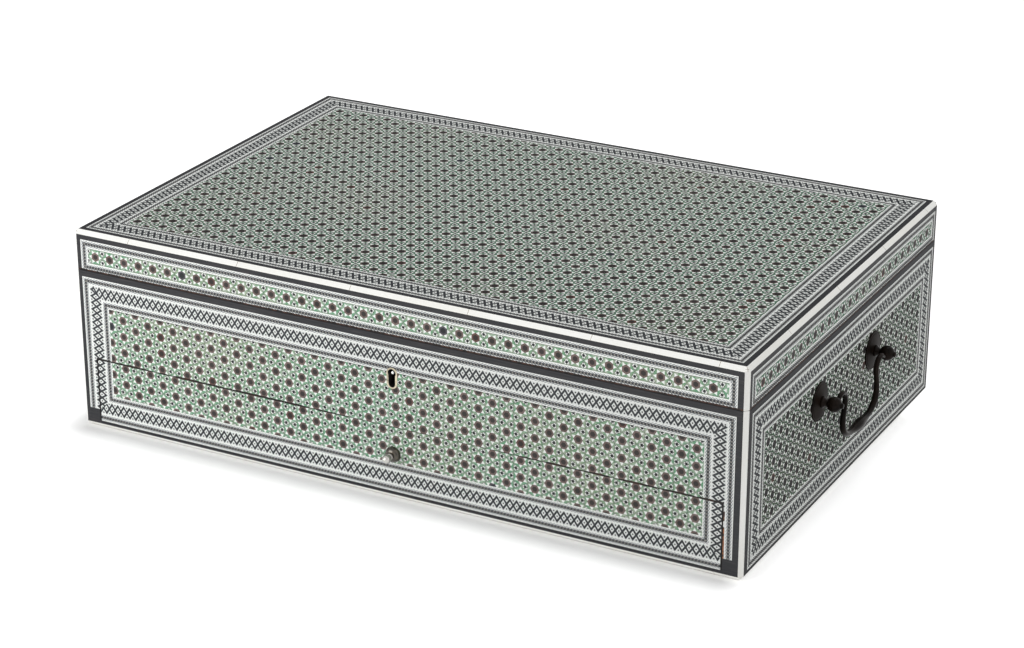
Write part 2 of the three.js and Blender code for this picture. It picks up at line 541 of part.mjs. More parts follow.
// The lock's plate is bent over the top of the wall; the lid's two links drop through it.
function addLock() {

	const slots = linkCentres.map( x => board(
		[ x - LINK_THICKNESS / 2 - LINK_FIT, LINK_Y - LINK_WIDTH / 2 - LINK_FIT, BODY_TOP - LOCK_METAL - PAST ],
		[ x + LINK_THICKNESS / 2 + LINK_FIT, LINK_Y + LINK_WIDTH / 2 + LINK_FIT, BODY_TOP + PAST ] ) );
	add( 'lock_plate', joined(
		cut(
			joined(
				board( [ - LOCK_WIDTH / 2, PLATE_FRONT, BODY_TOP - LOCK_HEIGHT ], [ LOCK_WIDTH / 2, LOCK_BACK, BODY_TOP ] ),
				board( [ - LOCK_WIDTH / 2, SELVEDGE_FRONT, BODY_TOP - LOCK_METAL ], [ LOCK_WIDTH / 2, LOCK_BACK, BODY_TOP ] ),
			),
			...slots,
		),
		bar( KEY_PIN_RADIUS, 'y', [ 0, 0, KEY_PIN_Z ], PLATE_FRONT - KEY_PIN_LENGTH, PLATE_FRONT + LOCK_METAL / 2 ),
	), 'brass' );

	const caseTop = BODY_TOP - LOCK_METAL - GLUE_LINE;
	const caseBottom = caseTop - CASE_HEIGHT;
	add( 'lock_case', cut(
		board( [ - CASE_WIDTH / 2, CASE_FRONT, caseBottom ], [ CASE_WIDTH / 2, PLATE_FRONT - GLUE_LINE, caseTop ] ),
		board( [ - CASE_WIDTH / 2 + CASE_METAL, CASE_FRONT + CASE_METAL, caseBottom + CASE_METAL ],
			[ CASE_WIDTH / 2 - CASE_METAL, LOCK_BACK, caseTop + PAST ] ),
		prism( slotOutline( KEYHOLE_WIDTH, KEYHOLE_HEIGHT, KEYHOLE_MIDDLE ), 'y', CASE_FRONT - PAST, LOCK_BACK ),
	), 'brass' );

	const eyeBottom = LID_UNDERSIDE - LINK_DROP + LINK_EYE_RISE;
	const links = linkCentres.map( x => {

		const ear = new THREE.Shape();
		const bottom = LID_UNDERSIDE - LINK_DROP;
		const half = LINK_WIDTH / 2;
		ear.moveTo( LINK_Y + half, LID_UNDERSIDE + LOCK_METAL / 2 );
		ear.lineTo( LINK_Y - half, LID_UNDERSIDE + LOCK_METAL / 2 );
		ear.lineTo( LINK_Y - half, bottom + LINK_EYE_RISE );
		ear.quadraticCurveTo( LINK_Y - half, bottom, LINK_Y, bottom );
		ear.quadraticCurveTo( LINK_Y + half, bottom, LINK_Y + half, bottom + LINK_EYE_RISE );
		const eye = board( [ x - LINK_THICKNESS, LINK_Y - LINK_EYE_WIDTH / 2, eyeBottom ],
			[ x + LINK_THICKNESS, LINK_Y + LINK_EYE_WIDTH / 2, eyeBottom + LINK_EYE_HEIGHT ] );
		return cut( prism( ear, 'x', x - LINK_THICKNESS / 2, x + LINK_THICKNESS / 2, LINK_STEPS ), eye );

	} );
	add( 'link_plate', joined(
		board( [ - LOCK_WIDTH / 2, SELVEDGE_FRONT, LID_UNDERSIDE ], [ LOCK_WIDTH / 2, LOCK_BACK, LID_UNDERSIDE + LOCK_METAL ] ),
		...links,
	), 'brass' );

	const barTop = BODY_TOP - BOLT_BAR_DROP;
	const barBottom = barTop - BOLT_BAR_HEIGHT;
	const prongBottom = eyeBottom + ( LINK_EYE_HEIGHT - BOLT_PRONG_HEIGHT ) / 2;
	const prongTop = prongBottom + BOLT_PRONG_HEIGHT;
	const hooks = linkCentres.map( x => {

		const tip = x - LINK_THICKNESS / 2 - BOLT_TIP_GAP;
		const armRight = tip - BOLT_PRONG_LENGTH;
		const armLeft = armRight - BOLT_ARM;
		return prism( [
			[ armLeft, barBottom ], [ armRight, barBottom ], [ armRight, prongBottom ],
			[ tip, prongBottom ], [ tip, prongTop ], [ armLeft, prongTop ],
		], 'y', LINK_Y - BOLT_PRONG_THICKNESS / 2, LINK_Y + BOLT_PRONG_THICKNESS / 2 );

	} );
	const barLeft = linkCentres[ 0 ] - LINK_THICKNESS / 2 - BOLT_TIP_GAP - BOLT_PRONG_LENGTH - BOLT_ARM;
	add( 'lock_bolt', joined(
		board( [ barLeft, CASE_FRONT + CASE_METAL + BOLT_FIT, barBottom ],
			[ linkCentres[ 1 ] + BOLT_TAIL, PLATE_FRONT - BOLT_FIT, barTop ] ),
		...hooks,
	), 'steel' );

	const keyhole = slotOutline( KEYHOLE_WIDTH, KEYHOLE_HEIGHT, KEYHOLE_MIDDLE );
	const eyeRadius = KEYHOLE_WIDTH / 2 - LINER_METAL;
	const slotHalf = KEY_SLOT_WIDTH / 2;
	const shoulder = Math.asin( slotHalf / eyeRadius );
	const slotBottom = KEYHOLE_TOP - KEYHOLE_HEIGHT + LINER_METAL + slotHalf;
	const opening = new THREE.Path();
	opening.absarc( 0, KEY_PIN_Z, eyeRadius, shoulder - Math.PI / 2, 1.5 * Math.PI - shoulder, false );
	opening.absarc( 0, slotBottom, slotHalf, Math.PI, 2 * Math.PI, false );
	keyhole.holes.push( opening );
	const linerFront = - HALF_DEPTH - LINER_PROUD;
	add( 'keyhole_liner', prism( keyhole, 'y', linerFront, linerFront + LINER_DEPTH, LINER_STEPS ), 'brass' );

}

// Profile points for a piece turned about an upright axis, as [radius, height] pairs.
function turned( profile, segments = FINE ) {

	return new THREE.LatheGeometry( profile.map( ( [ r, h ] ) => new THREE.Vector2( r, h ) ), segments );

}

// Points on a circular arc, for turned profiles.
function arc( radius, centreHeight, fromAngle, toAngle, steps ) {

	return Array.from( { length: steps + 1 }, ( _, i ) => {

		const angle = fromAngle + ( toAngle - fromAngle ) * i / steps;
		return [ radius * Math.cos( angle ), centreHeight + radius * Math.sin( angle ) ];

	} );

}

// The rose is a thin domed disc; the post's shoulder holds it against the side.
function addHandle( side, sign ) {

	const faceX = HALF_WIDTH + GLUE_LINE;
	const place = ( geometry, y ) => {

		geometry.rotateZ( - Math.PI / 2 );
		if ( sign < 0 ) geometry.rotateY( Math.PI );
		return geometry.translate( sign * faceX, y, HANDLE_HEIGHT );

	};

	const domeTop = ROSE_RIM + ROSE_DOME;
	const boreRadius = POST_STEM_RADIUS + STEM_FIT;
	const domeRadius = ROSE_RADIUS - ROSE_BEVEL;
	const dome = Array.from( { length: ROSE_RINGS + 1 }, ( _, i ) => {

		const radius = domeRadius - ( domeRadius - boreRadius ) * i / ROSE_RINGS;
		return [ radius, ROSE_RIM + ROSE_DOME * Math.cos( Math.PI / 2 * radius / ROSE_RADIUS ) ];

	} );
	const rose = [ [ boreRadius, 0 ], [ ROSE_RADIUS, 0 ], [ ROSE_RADIUS, ROSE_RIM - ROSE_BEVEL / 2 ], ...dome, [ boreRadius, 0 ] ];

	const shoulder = domeTop + STEM_FIT;
	const neckAngle = - Math.acos( POST_BALL_FOOT_RADIUS / POST_BALL_RADIUS );
	const tipAngle = Math.acos( POST_TIP_RADIUS / POST_BALL_RADIUS );
	const tipBase = HANDLE_STANDOFF - GLUE_LINE + POST_BALL_RADIUS * Math.sin( tipAngle );
	const post = [
		[ 0, - POST_STEM_LENGTH ], [ POST_STEM_RADIUS, - POST_STEM_LENGTH ], [ POST_STEM_RADIUS, shoulder ],
		[ POST_COLLAR_RADIUS, shoulder ], [ POST_COLLAR_RADIUS, shoulder + POST_COLLAR_LENGTH ],
		[ POST_NECK_RADIUS, shoulder + POST_COLLAR_LENGTH + POST_NECK_SLOPE ],
		...arc( POST_BALL_RADIUS, HANDLE_STANDOFF - GLUE_LINE, neckAngle, tipAngle, BALL_STEPS ),
		[ POST_TIP_RADIUS, tipBase + POST_TIP_LENGTH / 2 ], [ POST_TIP_RADIUS / 2, tipBase + POST_TIP_LENGTH ],
		[ 0, tipBase + POST_TIP_LENGTH ],
	];

	for ( const [ end, direction ] of [ [ 'front', - 1 ], [ 'back', 1 ] ] ) {

		const y = direction * HANDLE_SPACING / 2;
		add( `handle_rose_${ side }_${ end }`, place( turned( rose ), y ), 'bronze' );
		const innerSide = HANDLE_SPACING / 2 - POST_BALL_RADIUS;
		const mouth = direction * ( innerSide - PAST );
		const blind = direction * ( innerSide + BAIL_PIN_REACH + BAIL_BORE_REST );
		const bore = bar( BAIL_PIN_RADIUS + BAIL_PIN_FIT, 'y', [ sign * handleX, 0, HANDLE_HEIGHT ],
			Math.min( mouth, blind ), Math.max( mouth, blind ), BAIL_SIDES );
		add( `handle_post_${ side }_${ end }`, cut( place( turned( post, ROUND ), y ), bore ), 'bronze' );

	}

	add( `${ side }_bail`, bail( sign ), 'bronze' );

}

// Half of the bail's centre line, from the pin in the ball over the swan neck and down to
// the middle of the grip, as [distance from the middle, height above the pivot] pairs.
function bailHalfLine() {

	const ball = HANDLE_SPACING / 2;
	const entry = ball - POST_BALL_RADIUS;
	const curl = ball - BAIL_CURL_REACH;
	const waist = ball - BAIL_WAIST;
	const shoulder = ball - BAIL_SHOULDER;
	return [
		[ entry + BAIL_PIN_REACH, 0 ], [ entry - 0.6, 0 ],
		[ entry - 2.4, BAIL_CURL_RISE * 0.24 ], [ curl + 2.9, BAIL_CURL_RISE * 0.74 ],
		[ curl, BAIL_CURL_RISE ], [ curl - 3.2, BAIL_CURL_RISE * 0.84 ],
		[ waist + 2.3, BAIL_CURL_RISE * 0.34 ], [ waist + 0.6, - BAIL_DROP * 0.04 ],
		[ waist, - BAIL_DROP * 0.13 ], [ waist + 0.5, - BAIL_DROP * 0.24 ],
		[ waist + 1.7, - BAIL_DROP * 0.36 ], [ shoulder - 0.3, - BAIL_DROP * 0.49 ],
		[ shoulder, - BAIL_DROP * 0.62 ], [ shoulder - 1.4, - BAIL_DROP * 0.76 ],
		[ shoulder - 5.2, - BAIL_DROP * 0.88 ], [ shoulder - 10.9, - BAIL_DROP * 0.957 ],
		[ shoulder - 18.4, - BAIL_DROP * 0.99 ], [ 0, - BAIL_DROP ],
	];

}

// Thickness along the bail: thin pin and neck, rounder arms, a swollen grip.
function bailRadius( share ) {

	const stations = [
		[ 0, BAIL_PIN_RADIUS ], [ 0.05, BAIL_PIN_RADIUS ], [ 0.1, BAIL_NECK_RADIUS ], [ 0.22, BAIL_NECK_RADIUS ],
		[ 0.32, BAIL_ARM_RADIUS ], [ 0.4, BAIL_ARM_RADIUS ], [ 0.5, BAIL_GRIP_RADIUS ],
	];
	const along = Math.min( share, 1 - share );
	const next = Math.max( 1, stations.findIndex( ( [ at ] ) => at >= along ) );
	const [ [ from, low ], [ to, high ] ] = [ stations[ next - 1 ], stations[ next ] ];
	const mix = ( along - from ) / ( to - from );
	return low + ( high - low ) * mix * mix * ( 3 - 2 * mix );

}

// The bail hangs in one upright plane, so its rings are drawn square to its line there.
function bail( sign ) {

	const half = bailHalfLine();
	const whole = [ ...half.map( ( [ y, z ] ) => [ - y, z ] ), ...half.slice( 0, - 1 ).reverse() ];
	const line = new THREE.CatmullRomCurve3( whole.map( ( [ y, z ] ) => new THREE.Vector3( 0, y, z ) ), false, 'centripetal' );
	const positions = [];
	const index = [];
	for ( let step = 0; step <= BAIL_STEPS; step ++ ) {

		const share = step / BAIL_STEPS;
		const centre = line.getPointAt( share );
		const along = line.getTangentAt( share );
		const radius = bailRadius( share );
		for ( let k = 0; k < BAIL_SIDES; k ++ ) {

			const turn = 2 * Math.PI * k / BAIL_SIDES;
			const across = radius * Math.cos( turn );
			positions.push(
				sign * handleX + radius * Math.sin( turn ),
				centre.y - along.z * across,
				HANDLE_HEIGHT + centre.z + along.y * across,
			);

		}

	}

	const ring = ( step, k ) => step * BAIL_SIDES + k % BAIL_SIDES;
	for ( let step = 0; step < BAIL_STEPS; step ++ ) {

		for ( let k = 0; k < BAIL_SIDES; k ++ ) {

			index.push( ring( step, k ), ring( step + 1, k + 1 ), ring( step + 1, k ) );
			index.push( ring( step, k ), ring( step, k + 1 ), ring( step + 1, k + 1 ) );

		}

	}

	for ( let k = 1; k < BAIL_SIDES - 1; k ++ ) {

		index.push( ring( 0, 0 ), ring( 0, k + 1 ), ring( 0, k ) );
		index.push( ring( BAIL_STEPS, 0 ), ring( BAIL_STEPS, k ), ring( BAIL_STEPS, k + 1 ) );

	}

	const geometry = new THREE.BufferGeometry();
	geometry.setAttribute( 'position', new THREE.Float32BufferAttribute( positions, 3 ) );
	geometry.setIndex( index );
	geometry.computeVertexNormals();
	return geometry;

}

// The bottom board of the drawer runs in grooves in its front and sides.
function addDrawer() {

	const halfX = INNER_X - DRAWER_SIDE_GAP;
	const insideX = halfX - DRAWER_SIDE;
	const frontBack = - CORE_Y + DRAWER_FRONT;
	const rear = INNER_Y - DRAWER_BACK_GAP;
	const grooveBottom = DRAWER_FLOOR + DRAWER_GROOVE_RISE;
	const grooveTop = grooveBottom + DRAWER_BOTTOM + 2 * GROOVE_FIT;
	const sideTop = DRAWER_FLOOR + DRAWER_SIDE_HEIGHT;
	const knobZ = DRAWER_FLOOR + KNOB_RISE;

	const frontSection = [
		[ - CORE_Y, DRAWER_FLOOR ], [ frontBack, DRAWER_FLOOR ], [ frontBack, grooveBottom ],
		[ frontBack - DRAWER_GROOVE_DEPTH, grooveBottom ], [ frontBack - DRAWER_GROOVE_DEPTH, grooveTop ],
		[ frontBack, grooveTop ], [ frontBack, DRAWER_TOP ], [ - CORE_Y, DRAWER_TOP ],
	];
	const stemHole = bar( KNOB_STEM_RADIUS + STEM_FIT, 'y', [ 0, 0, knobZ ], - HALF_DEPTH - PAST, - CORE_Y + KNOB_STEM_LENGTH );
	add( 'drawer_front', cut( prism( frontSection, 'x', - halfX, halfX ), stemHole ), 'teak' );
	add( 'drawer_veneer', cut(
		board( [ - halfX, - HALF_DEPTH, DRAWER_FLOOR ], [ halfX, - CORE_Y - GLUE_LINE, DRAWER_TOP ] ), stemHole ), 'mosaic' );

	for ( const [ name, sign ] of [ [ 'left', - 1 ], [ 'right', 1 ] ] ) {

		const section = [
			[ halfX, DRAWER_FLOOR ], [ halfX, sideTop ], [ insideX, sideTop ], [ insideX, grooveTop ],
			[ insideX + DRAWER_GROOVE_DEPTH, grooveTop ], [ insideX + DRAWER_GROOVE_DEPTH, grooveBottom ],
			[ insideX, grooveBottom ], [ insideX, DRAWER_FLOOR ],
		].map( ( [ x, z ] ) => [ sign * x, z ] );
		add( `drawer_${ name }_side`, prism( section, 'y', frontBack + GLUE_LINE, rear ), 'sandalwood' );

	}

	const backX = insideX - GLUE_LINE;
	add( 'drawer_back', board( [ - backX, rear - DRAWER_BACK, grooveTop ], [ backX, rear, sideTop ] ), 'sandalwood' );
	const bottomX = insideX + DRAWER_GROOVE_DEPTH - GROOVE_FIT;
	add( 'drawer_bottom', board(
		[ - bottomX, frontBack - DRAWER_GROOVE_DEPTH + GROOVE_FIT, grooveBottom + GROOVE_FIT ],
		[ bottomX, rear, grooveBottom + GROOVE_FIT + DRAWER_BOTTOM ] ), 'sandalwood' );

	const ballHeight = KNOB_LENGTH - KNOB_BALL_RADIUS;
	const knob = turned( [
		[ 0, - KNOB_STEM_LENGTH ], [ KNOB_STEM_RADIUS, - KNOB_STEM_LENGTH ], [ KNOB_STEM_RADIUS, GLUE_LINE ],
		[ KNOB_RADIUS, GLUE_LINE ], [ KNOB_RADIUS, KNOB_LENGTH * 0.1 ], [ KNOB_RADIUS * 0.86, KNOB_LENGTH * 0.16 ],
		[ KNOB_RADIUS * 0.5, KNOB_LENGTH * 0.26 ], [ KNOB_RADIUS * 0.42, KNOB_LENGTH * 0.34 ],
		...arc( KNOB_BALL_RADIUS, ballHeight, - Math.PI * 0.3, Math.PI / 2 * 0.92, 8 ), [ 0, KNOB_LENGTH ],
	] );
	add( 'drawer_knob', knob.rotateX( Math.PI ).translate( 0, - HALF_DEPTH, knobZ ), 'brass' );

}

const wellFront = INNER_Y - INK_WELL_DEPTH;
const dividerX = INNER_X - INK_WELL_WIDTH;
const dividerTop = BODY_TOP - DIVIDER_DROP;

// Ink wells at the back corners, a pen tray between them and a board over the front well.
function addInterior() {

	const floor = DECK_TOP + GLUE_LINE;
	const wallX = INNER_X - GLUE_LINE;
	add( 'long_divider', board( [ - wallX, wellFront - DIVIDER, floor ], [ wallX, wellFront, dividerTop ] ), 'sandalwood' );
	const trayTop = BODY_TOP - TRAY_DROP;
	const trayBottom = trayTop - TRAY_HEIGHT;
	const ledgeTop = trayBottom - REST_GAP;
	for ( const [ name, sign ] of [ [ 'left', - 1 ], [ 'right', 1 ] ] ) {

		const section = [
			[ dividerX, floor ], [ dividerX, dividerTop ], [ dividerX - DIVIDER, dividerTop ], [ dividerX - DIVIDER, ledgeTop ],
			[ dividerX - DIVIDER - TRAY_LEDGE, ledgeTop ], [ dividerX - DIVIDER - TRAY_LEDGE, floor ],
		].map( ( [ x, z ] ) => [ sign * x, z ] );
		add( `${ name }_divider`, prism( section, 'y', wellFront + GLUE_LINE, INNER_Y - GLUE_LINE ), 'sandalwood' );
		addInkBottle( name, sign );

	}

	const trayX = dividerX - DIVIDER - TRAY_FIT;
	const trayFront = wellFront + TRAY_FIT;
	const trayBack = INNER_Y - TRAY_FIT;
	const troughs = [ - 1, 1 ].map( end => {

		const shape = new THREE.Shape();
		const centre = ( trayFront + trayBack ) / 2 + end * ( trayBack - trayFront ) / 4;
		shape.absellipse( centre, trayTop, TROUGH_WIDTH / 2, TROUGH_DEPTH, 0, 2 * Math.PI );
		return prism( shape, 'x', - trayX + TROUGH_MARGIN, trayX - TROUGH_MARGIN, 12 );

	} );
	add( 'pen_tray', cut( board( [ - trayX, trayFront, trayBottom ], [ trayX, trayBack, trayTop ] ), ...troughs ), 'sandalwood' );

	const boardTop = BODY_TOP - BOARD_DROP;
	const boardBottom = boardTop - BOARD_THICKNESS;
	const boardX = INNER_X - BOARD_FIT;
	const boardFront = - INNER_Y + BOARD_FIT;
	add( 'writing_board', cut(
		board( [ - boardX, boardFront, boardBottom ], [ boardX, wellFront - DIVIDER - BOARD_FIT, boardTop ] ),
		bar( FINGER_RADIUS, 'z', [ 0, boardFront, 0 ], boardBottom - PAST, boardTop + PAST, FINE ),
	), 'sandalwood' );

	const ledgeHigh = boardBottom - REST_GAP;
	const ledgeX = wallX - LEDGE_WIDTH;
	const ledgeFront = - INNER_Y + GLUE_LINE;
	const ledgeBack = wellFront - DIVIDER - GLUE_LINE;
	add( 'board_ledge', prism( [
		[ - wallX, ledgeFront ], [ wallX, ledgeFront ], [ wallX, ledgeBack ], [ ledgeX, ledgeBack ],
		[ ledgeX, ledgeFront + LEDGE_WIDTH ], [ - ledgeX, ledgeFront + LEDGE_WIDTH ], [ - ledgeX, ledgeBack ], [ - wallX, ledgeBack ],
	], 'z', ledgeHigh - LEDGE_HEIGHT, ledgeHigh ), 'sandalwood' );

}

// A square glass bottle with planed corners, a round neck and a brass screw cap.
function addInkBottle( name, sign ) {

	const half = BOTTLE_SIZE / 2;
	const corner = half - BOTTLE_CHAMFER;
	const foot = DECK_TOP + REST_GAP;
	const neckTop = BOTTLE_HEIGHT + BOTTLE_SHOULDER;
	const glass = new THREE.ExtrudeGeometry( new THREE.Shape( [
		[ - corner, - half ], [ corner, - half ], [ half, - corner ], [ half, corner ],
		[ corner, half ], [ - corner, half ], [ - half, corner ], [ - half, - corner ],
	].map( p => new THREE.Vector2( ...p ) ) ), { depth: BOTTLE_HEIGHT, bevelEnabled: false } );
	const top = turned( [
		[ 0, BOTTLE_HEIGHT - 2 ], [ half - 2, BOTTLE_HEIGHT - 2 ], [ half - 3, BOTTLE_HEIGHT + 1 ],
		[ BOTTLE_NECK_RADIUS, neckTop - 1 ], [ BOTTLE_NECK_RADIUS, neckTop ], [ CAP_RADIUS, neckTop ],
		[ CAP_RADIUS, neckTop + CAP_HEIGHT * 0.6 ], [ CAP_RADIUS * 0.86, neckTop + CAP_HEIGHT * 0.85 ],
		[ CAP_RADIUS * 0.3, neckTop + CAP_HEIGHT ], [ 0, neckTop + CAP_HEIGHT ],
	] ).rotateX( Math.PI / 2 );
	const x = sign * ( INNER_X - INK_WELL_WIDTH / 2 );
	const y = INNER_Y - INK_WELL_DEPTH / 2;
	add( `ink_bottle_${ name }`, joined( glass, top ).translate( x, y, foot ), 'glass' );

}

addCarcass();
addBodyFacings();
addBodyEdging();
addLid();
addHinge( 'left', hingeCentres[ 0 ] );
addHinge( 'right', hingeCentres[ 1 ] );
addLock();
addHandle( 'left', - 1 );
addHandle( 'right', 1 );
addDrawer();
addInterior();

export default box;
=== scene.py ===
"""Sadeli mosaic writing box: its finishes and small fittings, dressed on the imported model.

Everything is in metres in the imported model's frame, +X towards the right-hand handle, -Y out
of the front and +Z up. Sizes written in the classes are in millimetres, as a maker notes them,
but the camera, the lamps and the floor's width are in metres.
"""

import json
import logging
import math
from dataclasses import dataclass
from enum import Enum
from typing import Callable, Iterable, Sequence, Union

import bmesh
import bpy
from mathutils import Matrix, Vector

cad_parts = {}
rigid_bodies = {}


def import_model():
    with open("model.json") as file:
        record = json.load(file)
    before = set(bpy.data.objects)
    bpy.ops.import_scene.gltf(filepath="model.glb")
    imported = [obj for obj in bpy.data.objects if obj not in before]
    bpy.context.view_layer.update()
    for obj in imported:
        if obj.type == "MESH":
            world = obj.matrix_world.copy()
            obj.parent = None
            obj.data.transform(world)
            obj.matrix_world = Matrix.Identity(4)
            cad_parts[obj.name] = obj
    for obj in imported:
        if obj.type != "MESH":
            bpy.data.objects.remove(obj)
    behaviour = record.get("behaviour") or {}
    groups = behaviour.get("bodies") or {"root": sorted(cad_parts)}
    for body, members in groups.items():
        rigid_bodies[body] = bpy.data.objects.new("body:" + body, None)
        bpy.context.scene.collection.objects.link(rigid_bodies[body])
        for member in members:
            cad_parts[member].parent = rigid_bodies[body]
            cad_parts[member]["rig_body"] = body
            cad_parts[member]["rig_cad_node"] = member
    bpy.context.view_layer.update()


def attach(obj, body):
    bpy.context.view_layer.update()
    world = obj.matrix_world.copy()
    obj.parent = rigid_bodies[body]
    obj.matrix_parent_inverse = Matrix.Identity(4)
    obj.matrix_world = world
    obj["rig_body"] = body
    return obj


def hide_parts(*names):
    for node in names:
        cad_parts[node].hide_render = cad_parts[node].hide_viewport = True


LOG = logging.getLogger("writing_box")
MM = 0.001
ROOT3 = math.sqrt(3.0)
QUARTER = math.pi / 2.0
MERGED = 0.000002
WHITE = (1.0, 1.0, 1.0, 1.0)

Piece = bpy.types.Object
Material = bpy.types.Material
Pair = tuple[float, float]
Place = tuple[float, float, float]


def metres(values: Iterable[float]) -> list[float]:
    """Turns millimetres into metres."""
    return [value * MM for value in values]


def arc(radius: float, height: float, start: float, end: float, steps: int) -> list[Pair]:
    """Draws a ball's outline, as radius and height, from one angle to another in equal steps."""
    angles = [start + (end - start) * step / steps for step in range(steps + 1)]
    return [(radius * math.cos(angle), height + radius * math.sin(angle)) for angle in angles]


def linear(*parts: int) -> tuple[float, ...]:
    """Turns red, green and blue from 0 to 255 into a linear colour with an alpha of 1."""
    shares = [part / 255.0 for part in parts]
    return (*(p / 12.92 if p <= 0.04045 else ((p + 0.055) / 1.055) ** 2.4 for p in shares), 1.0)


class Tone(Enum):
    """The colours of the inlay, woods, metals and linings."""

    GREEN_BONE = linear(104, 160, 124)
    GREEN_MID = linear(72, 116, 92)
    GREEN_DEEP = linear(44, 84, 58)
    OLIVE_BONE = linear(136, 154, 116)
    OLIVE_MID = linear(92, 108, 80)
    OLIVE_DEEP = linear(72, 86, 62)
    WHITE_BONE = linear(245, 247, 244)
    BAND_BONE = linear(231, 234, 231)
    SAPPAN = linear(90, 75, 68)
    SAPPAN_MID = linear(58, 46, 43)
    SAPPAN_DEEP = linear(24, 19, 18)
    RED_SAPPAN = linear(86, 54, 46)
    PALE_SAPPAN = linear(140, 120, 116)
    PALE_MID = linear(104, 90, 86)
    PALE_DEEP = linear(60, 50, 47)
    SLATE = linear(52, 56, 66)
    HORN = linear(26, 28, 31)
    NET = linear(104, 106, 92)
    NET_DEEP = linear(60, 62, 54)
    HATCH = linear(102, 107, 112)
    HATCH_DEEP = linear(84, 88, 92)
    DASH_GROUND = linear(138, 136, 130)
    DASH_DEEP = linear(106, 103, 98)
    DASH = linear(54, 56, 60)
    BAND_HORN = linear(50, 53, 57)
    EBONY = linear(42, 43, 47)
    EBONY_STREAK = linear(60, 58, 60)
    # Dark raw wood; at the seam under the lid it is darkened as painted shade.
    SEAM_WOOD = linear(66, 40, 30)
    RAW_WOOD = linear(166, 104, 66)
    # Near black, for real cracks and for painted shade in the gaps and in the keyhole's bore.
    CRACK = linear(18, 12, 10)
    IVORY = linear(254, 254, 251)
    CREAM = linear(247, 246, 239)
    BONE_JOINT = linear(128, 112, 90)
    TEAK = linear(116, 76, 48)
    TEAK_DARK = linear(70, 42, 26)
    SANDALWOOD = linear(176, 128, 84)
    SANDALWOOD_DARK = linear(132, 86, 52)
    BRONZE = linear(8, 7, 6)
    BRONZE_WORN = linear(32, 25, 21)
    BRASS = linear(190, 166, 112)
    BRASS_DULL = linear(122, 104, 70)
    SILVERED = linear(188, 186, 181)
    LINER = linear(204, 194, 170)
    SILVERED_DULL = linear(86, 79, 66)
    SILVERED_DARK = linear(48, 44, 36)
    STEEL = linear(150, 150, 152)
    STEEL_DULL = linear(92, 88, 84)
    VELVET = linear(118, 26, 42)
    VELVET_WORN = linear(134, 44, 54)
    PAPER = linear(198, 176, 134)
    PAPER_SPOT = linear(180, 154, 110)
    GLASS = linear(206, 226, 220)
    INK = linear(20, 24, 40)
    FLOOR = linear(246, 246, 246)


Value = Union["Wire", float, tuple, Tone]


def plug(tree: bpy.types.NodeTree, slot: bpy.types.NodeSocket, value: Value) -> None:
    """Links a wire to an input, or writes a plain value on it.

    Args:
        tree: The material's node tree.
        slot: The input that takes the value.
        value: A wire, a number, a colour or a tone.
    """
    if isinstance(value, Wire):
        tree.links.new(value.socket, slot)
    else:
        slot.default_value = value.value if isinstance(value, Tone) else value


def operator(kind: str, swapped: bool = False) -> Callable[..., "Wire"]:
    """Makes an operator between wires and numbers.

    Args:
        kind: The Math node's operation.
        swapped: Whether the other value comes first.

    Returns:
        A method of the wire, which takes the other value if the operation has one.
    """

    def act(wire: "Wire", *others: Value) -> "Wire":
        """Adds the Math node."""
        return wire.math(kind, *((*others, wire) if swapped else (wire, *others)))

    return act


class Wire:
    """A socket that carries a number, which adds Math nodes when it is used in sums."""

    def __init__(self, tree: bpy.types.NodeTree, socket: bpy.types.NodeSocket) -> None:
        """Keeps the tree and the output socket."""
        self.tree = tree
        self.socket = socket

    def math(self, operation: str, *values: Value) -> "Wire":
        """Adds one Math node.

        Args:
            operation: The Math node's operation.
            values: Its inputs in order.

        Returns:
            The node's output.
        """
        node = self.tree.nodes.new("ShaderNodeMath")
        node.operation = operation
        for slot, value in zip(node.inputs, values):
            plug(self.tree, slot, value)
        return Wire(self.tree, node.outputs[0])

    __add__ = __radd__ = operator("ADD")
    __mul__ = __rmul__ = operator("MULTIPLY")
    __sub__, __rsub__ = operator("SUBTRACT"), operator("SUBTRACT", swapped=True)
    __lt__, __gt__ = operator("LESS_THAN"), operator("GREATER_THAN")
    __abs__ = operator("ABSOLUTE")
    low, high = operator("MINIMUM"), operator("MAXIMUM")
    root, whole = operator("SQRT"), operator("ROUND")

    def __neg__(self) -> "Wire":
        """Turns the sign round."""
        return self * -1.0

    def wrapped(self, period: float) -> "Wire":
        """Folds the value into one period either side of zero."""
        return self.math("WRAP", self, period / 2.0, -period / 2.0)


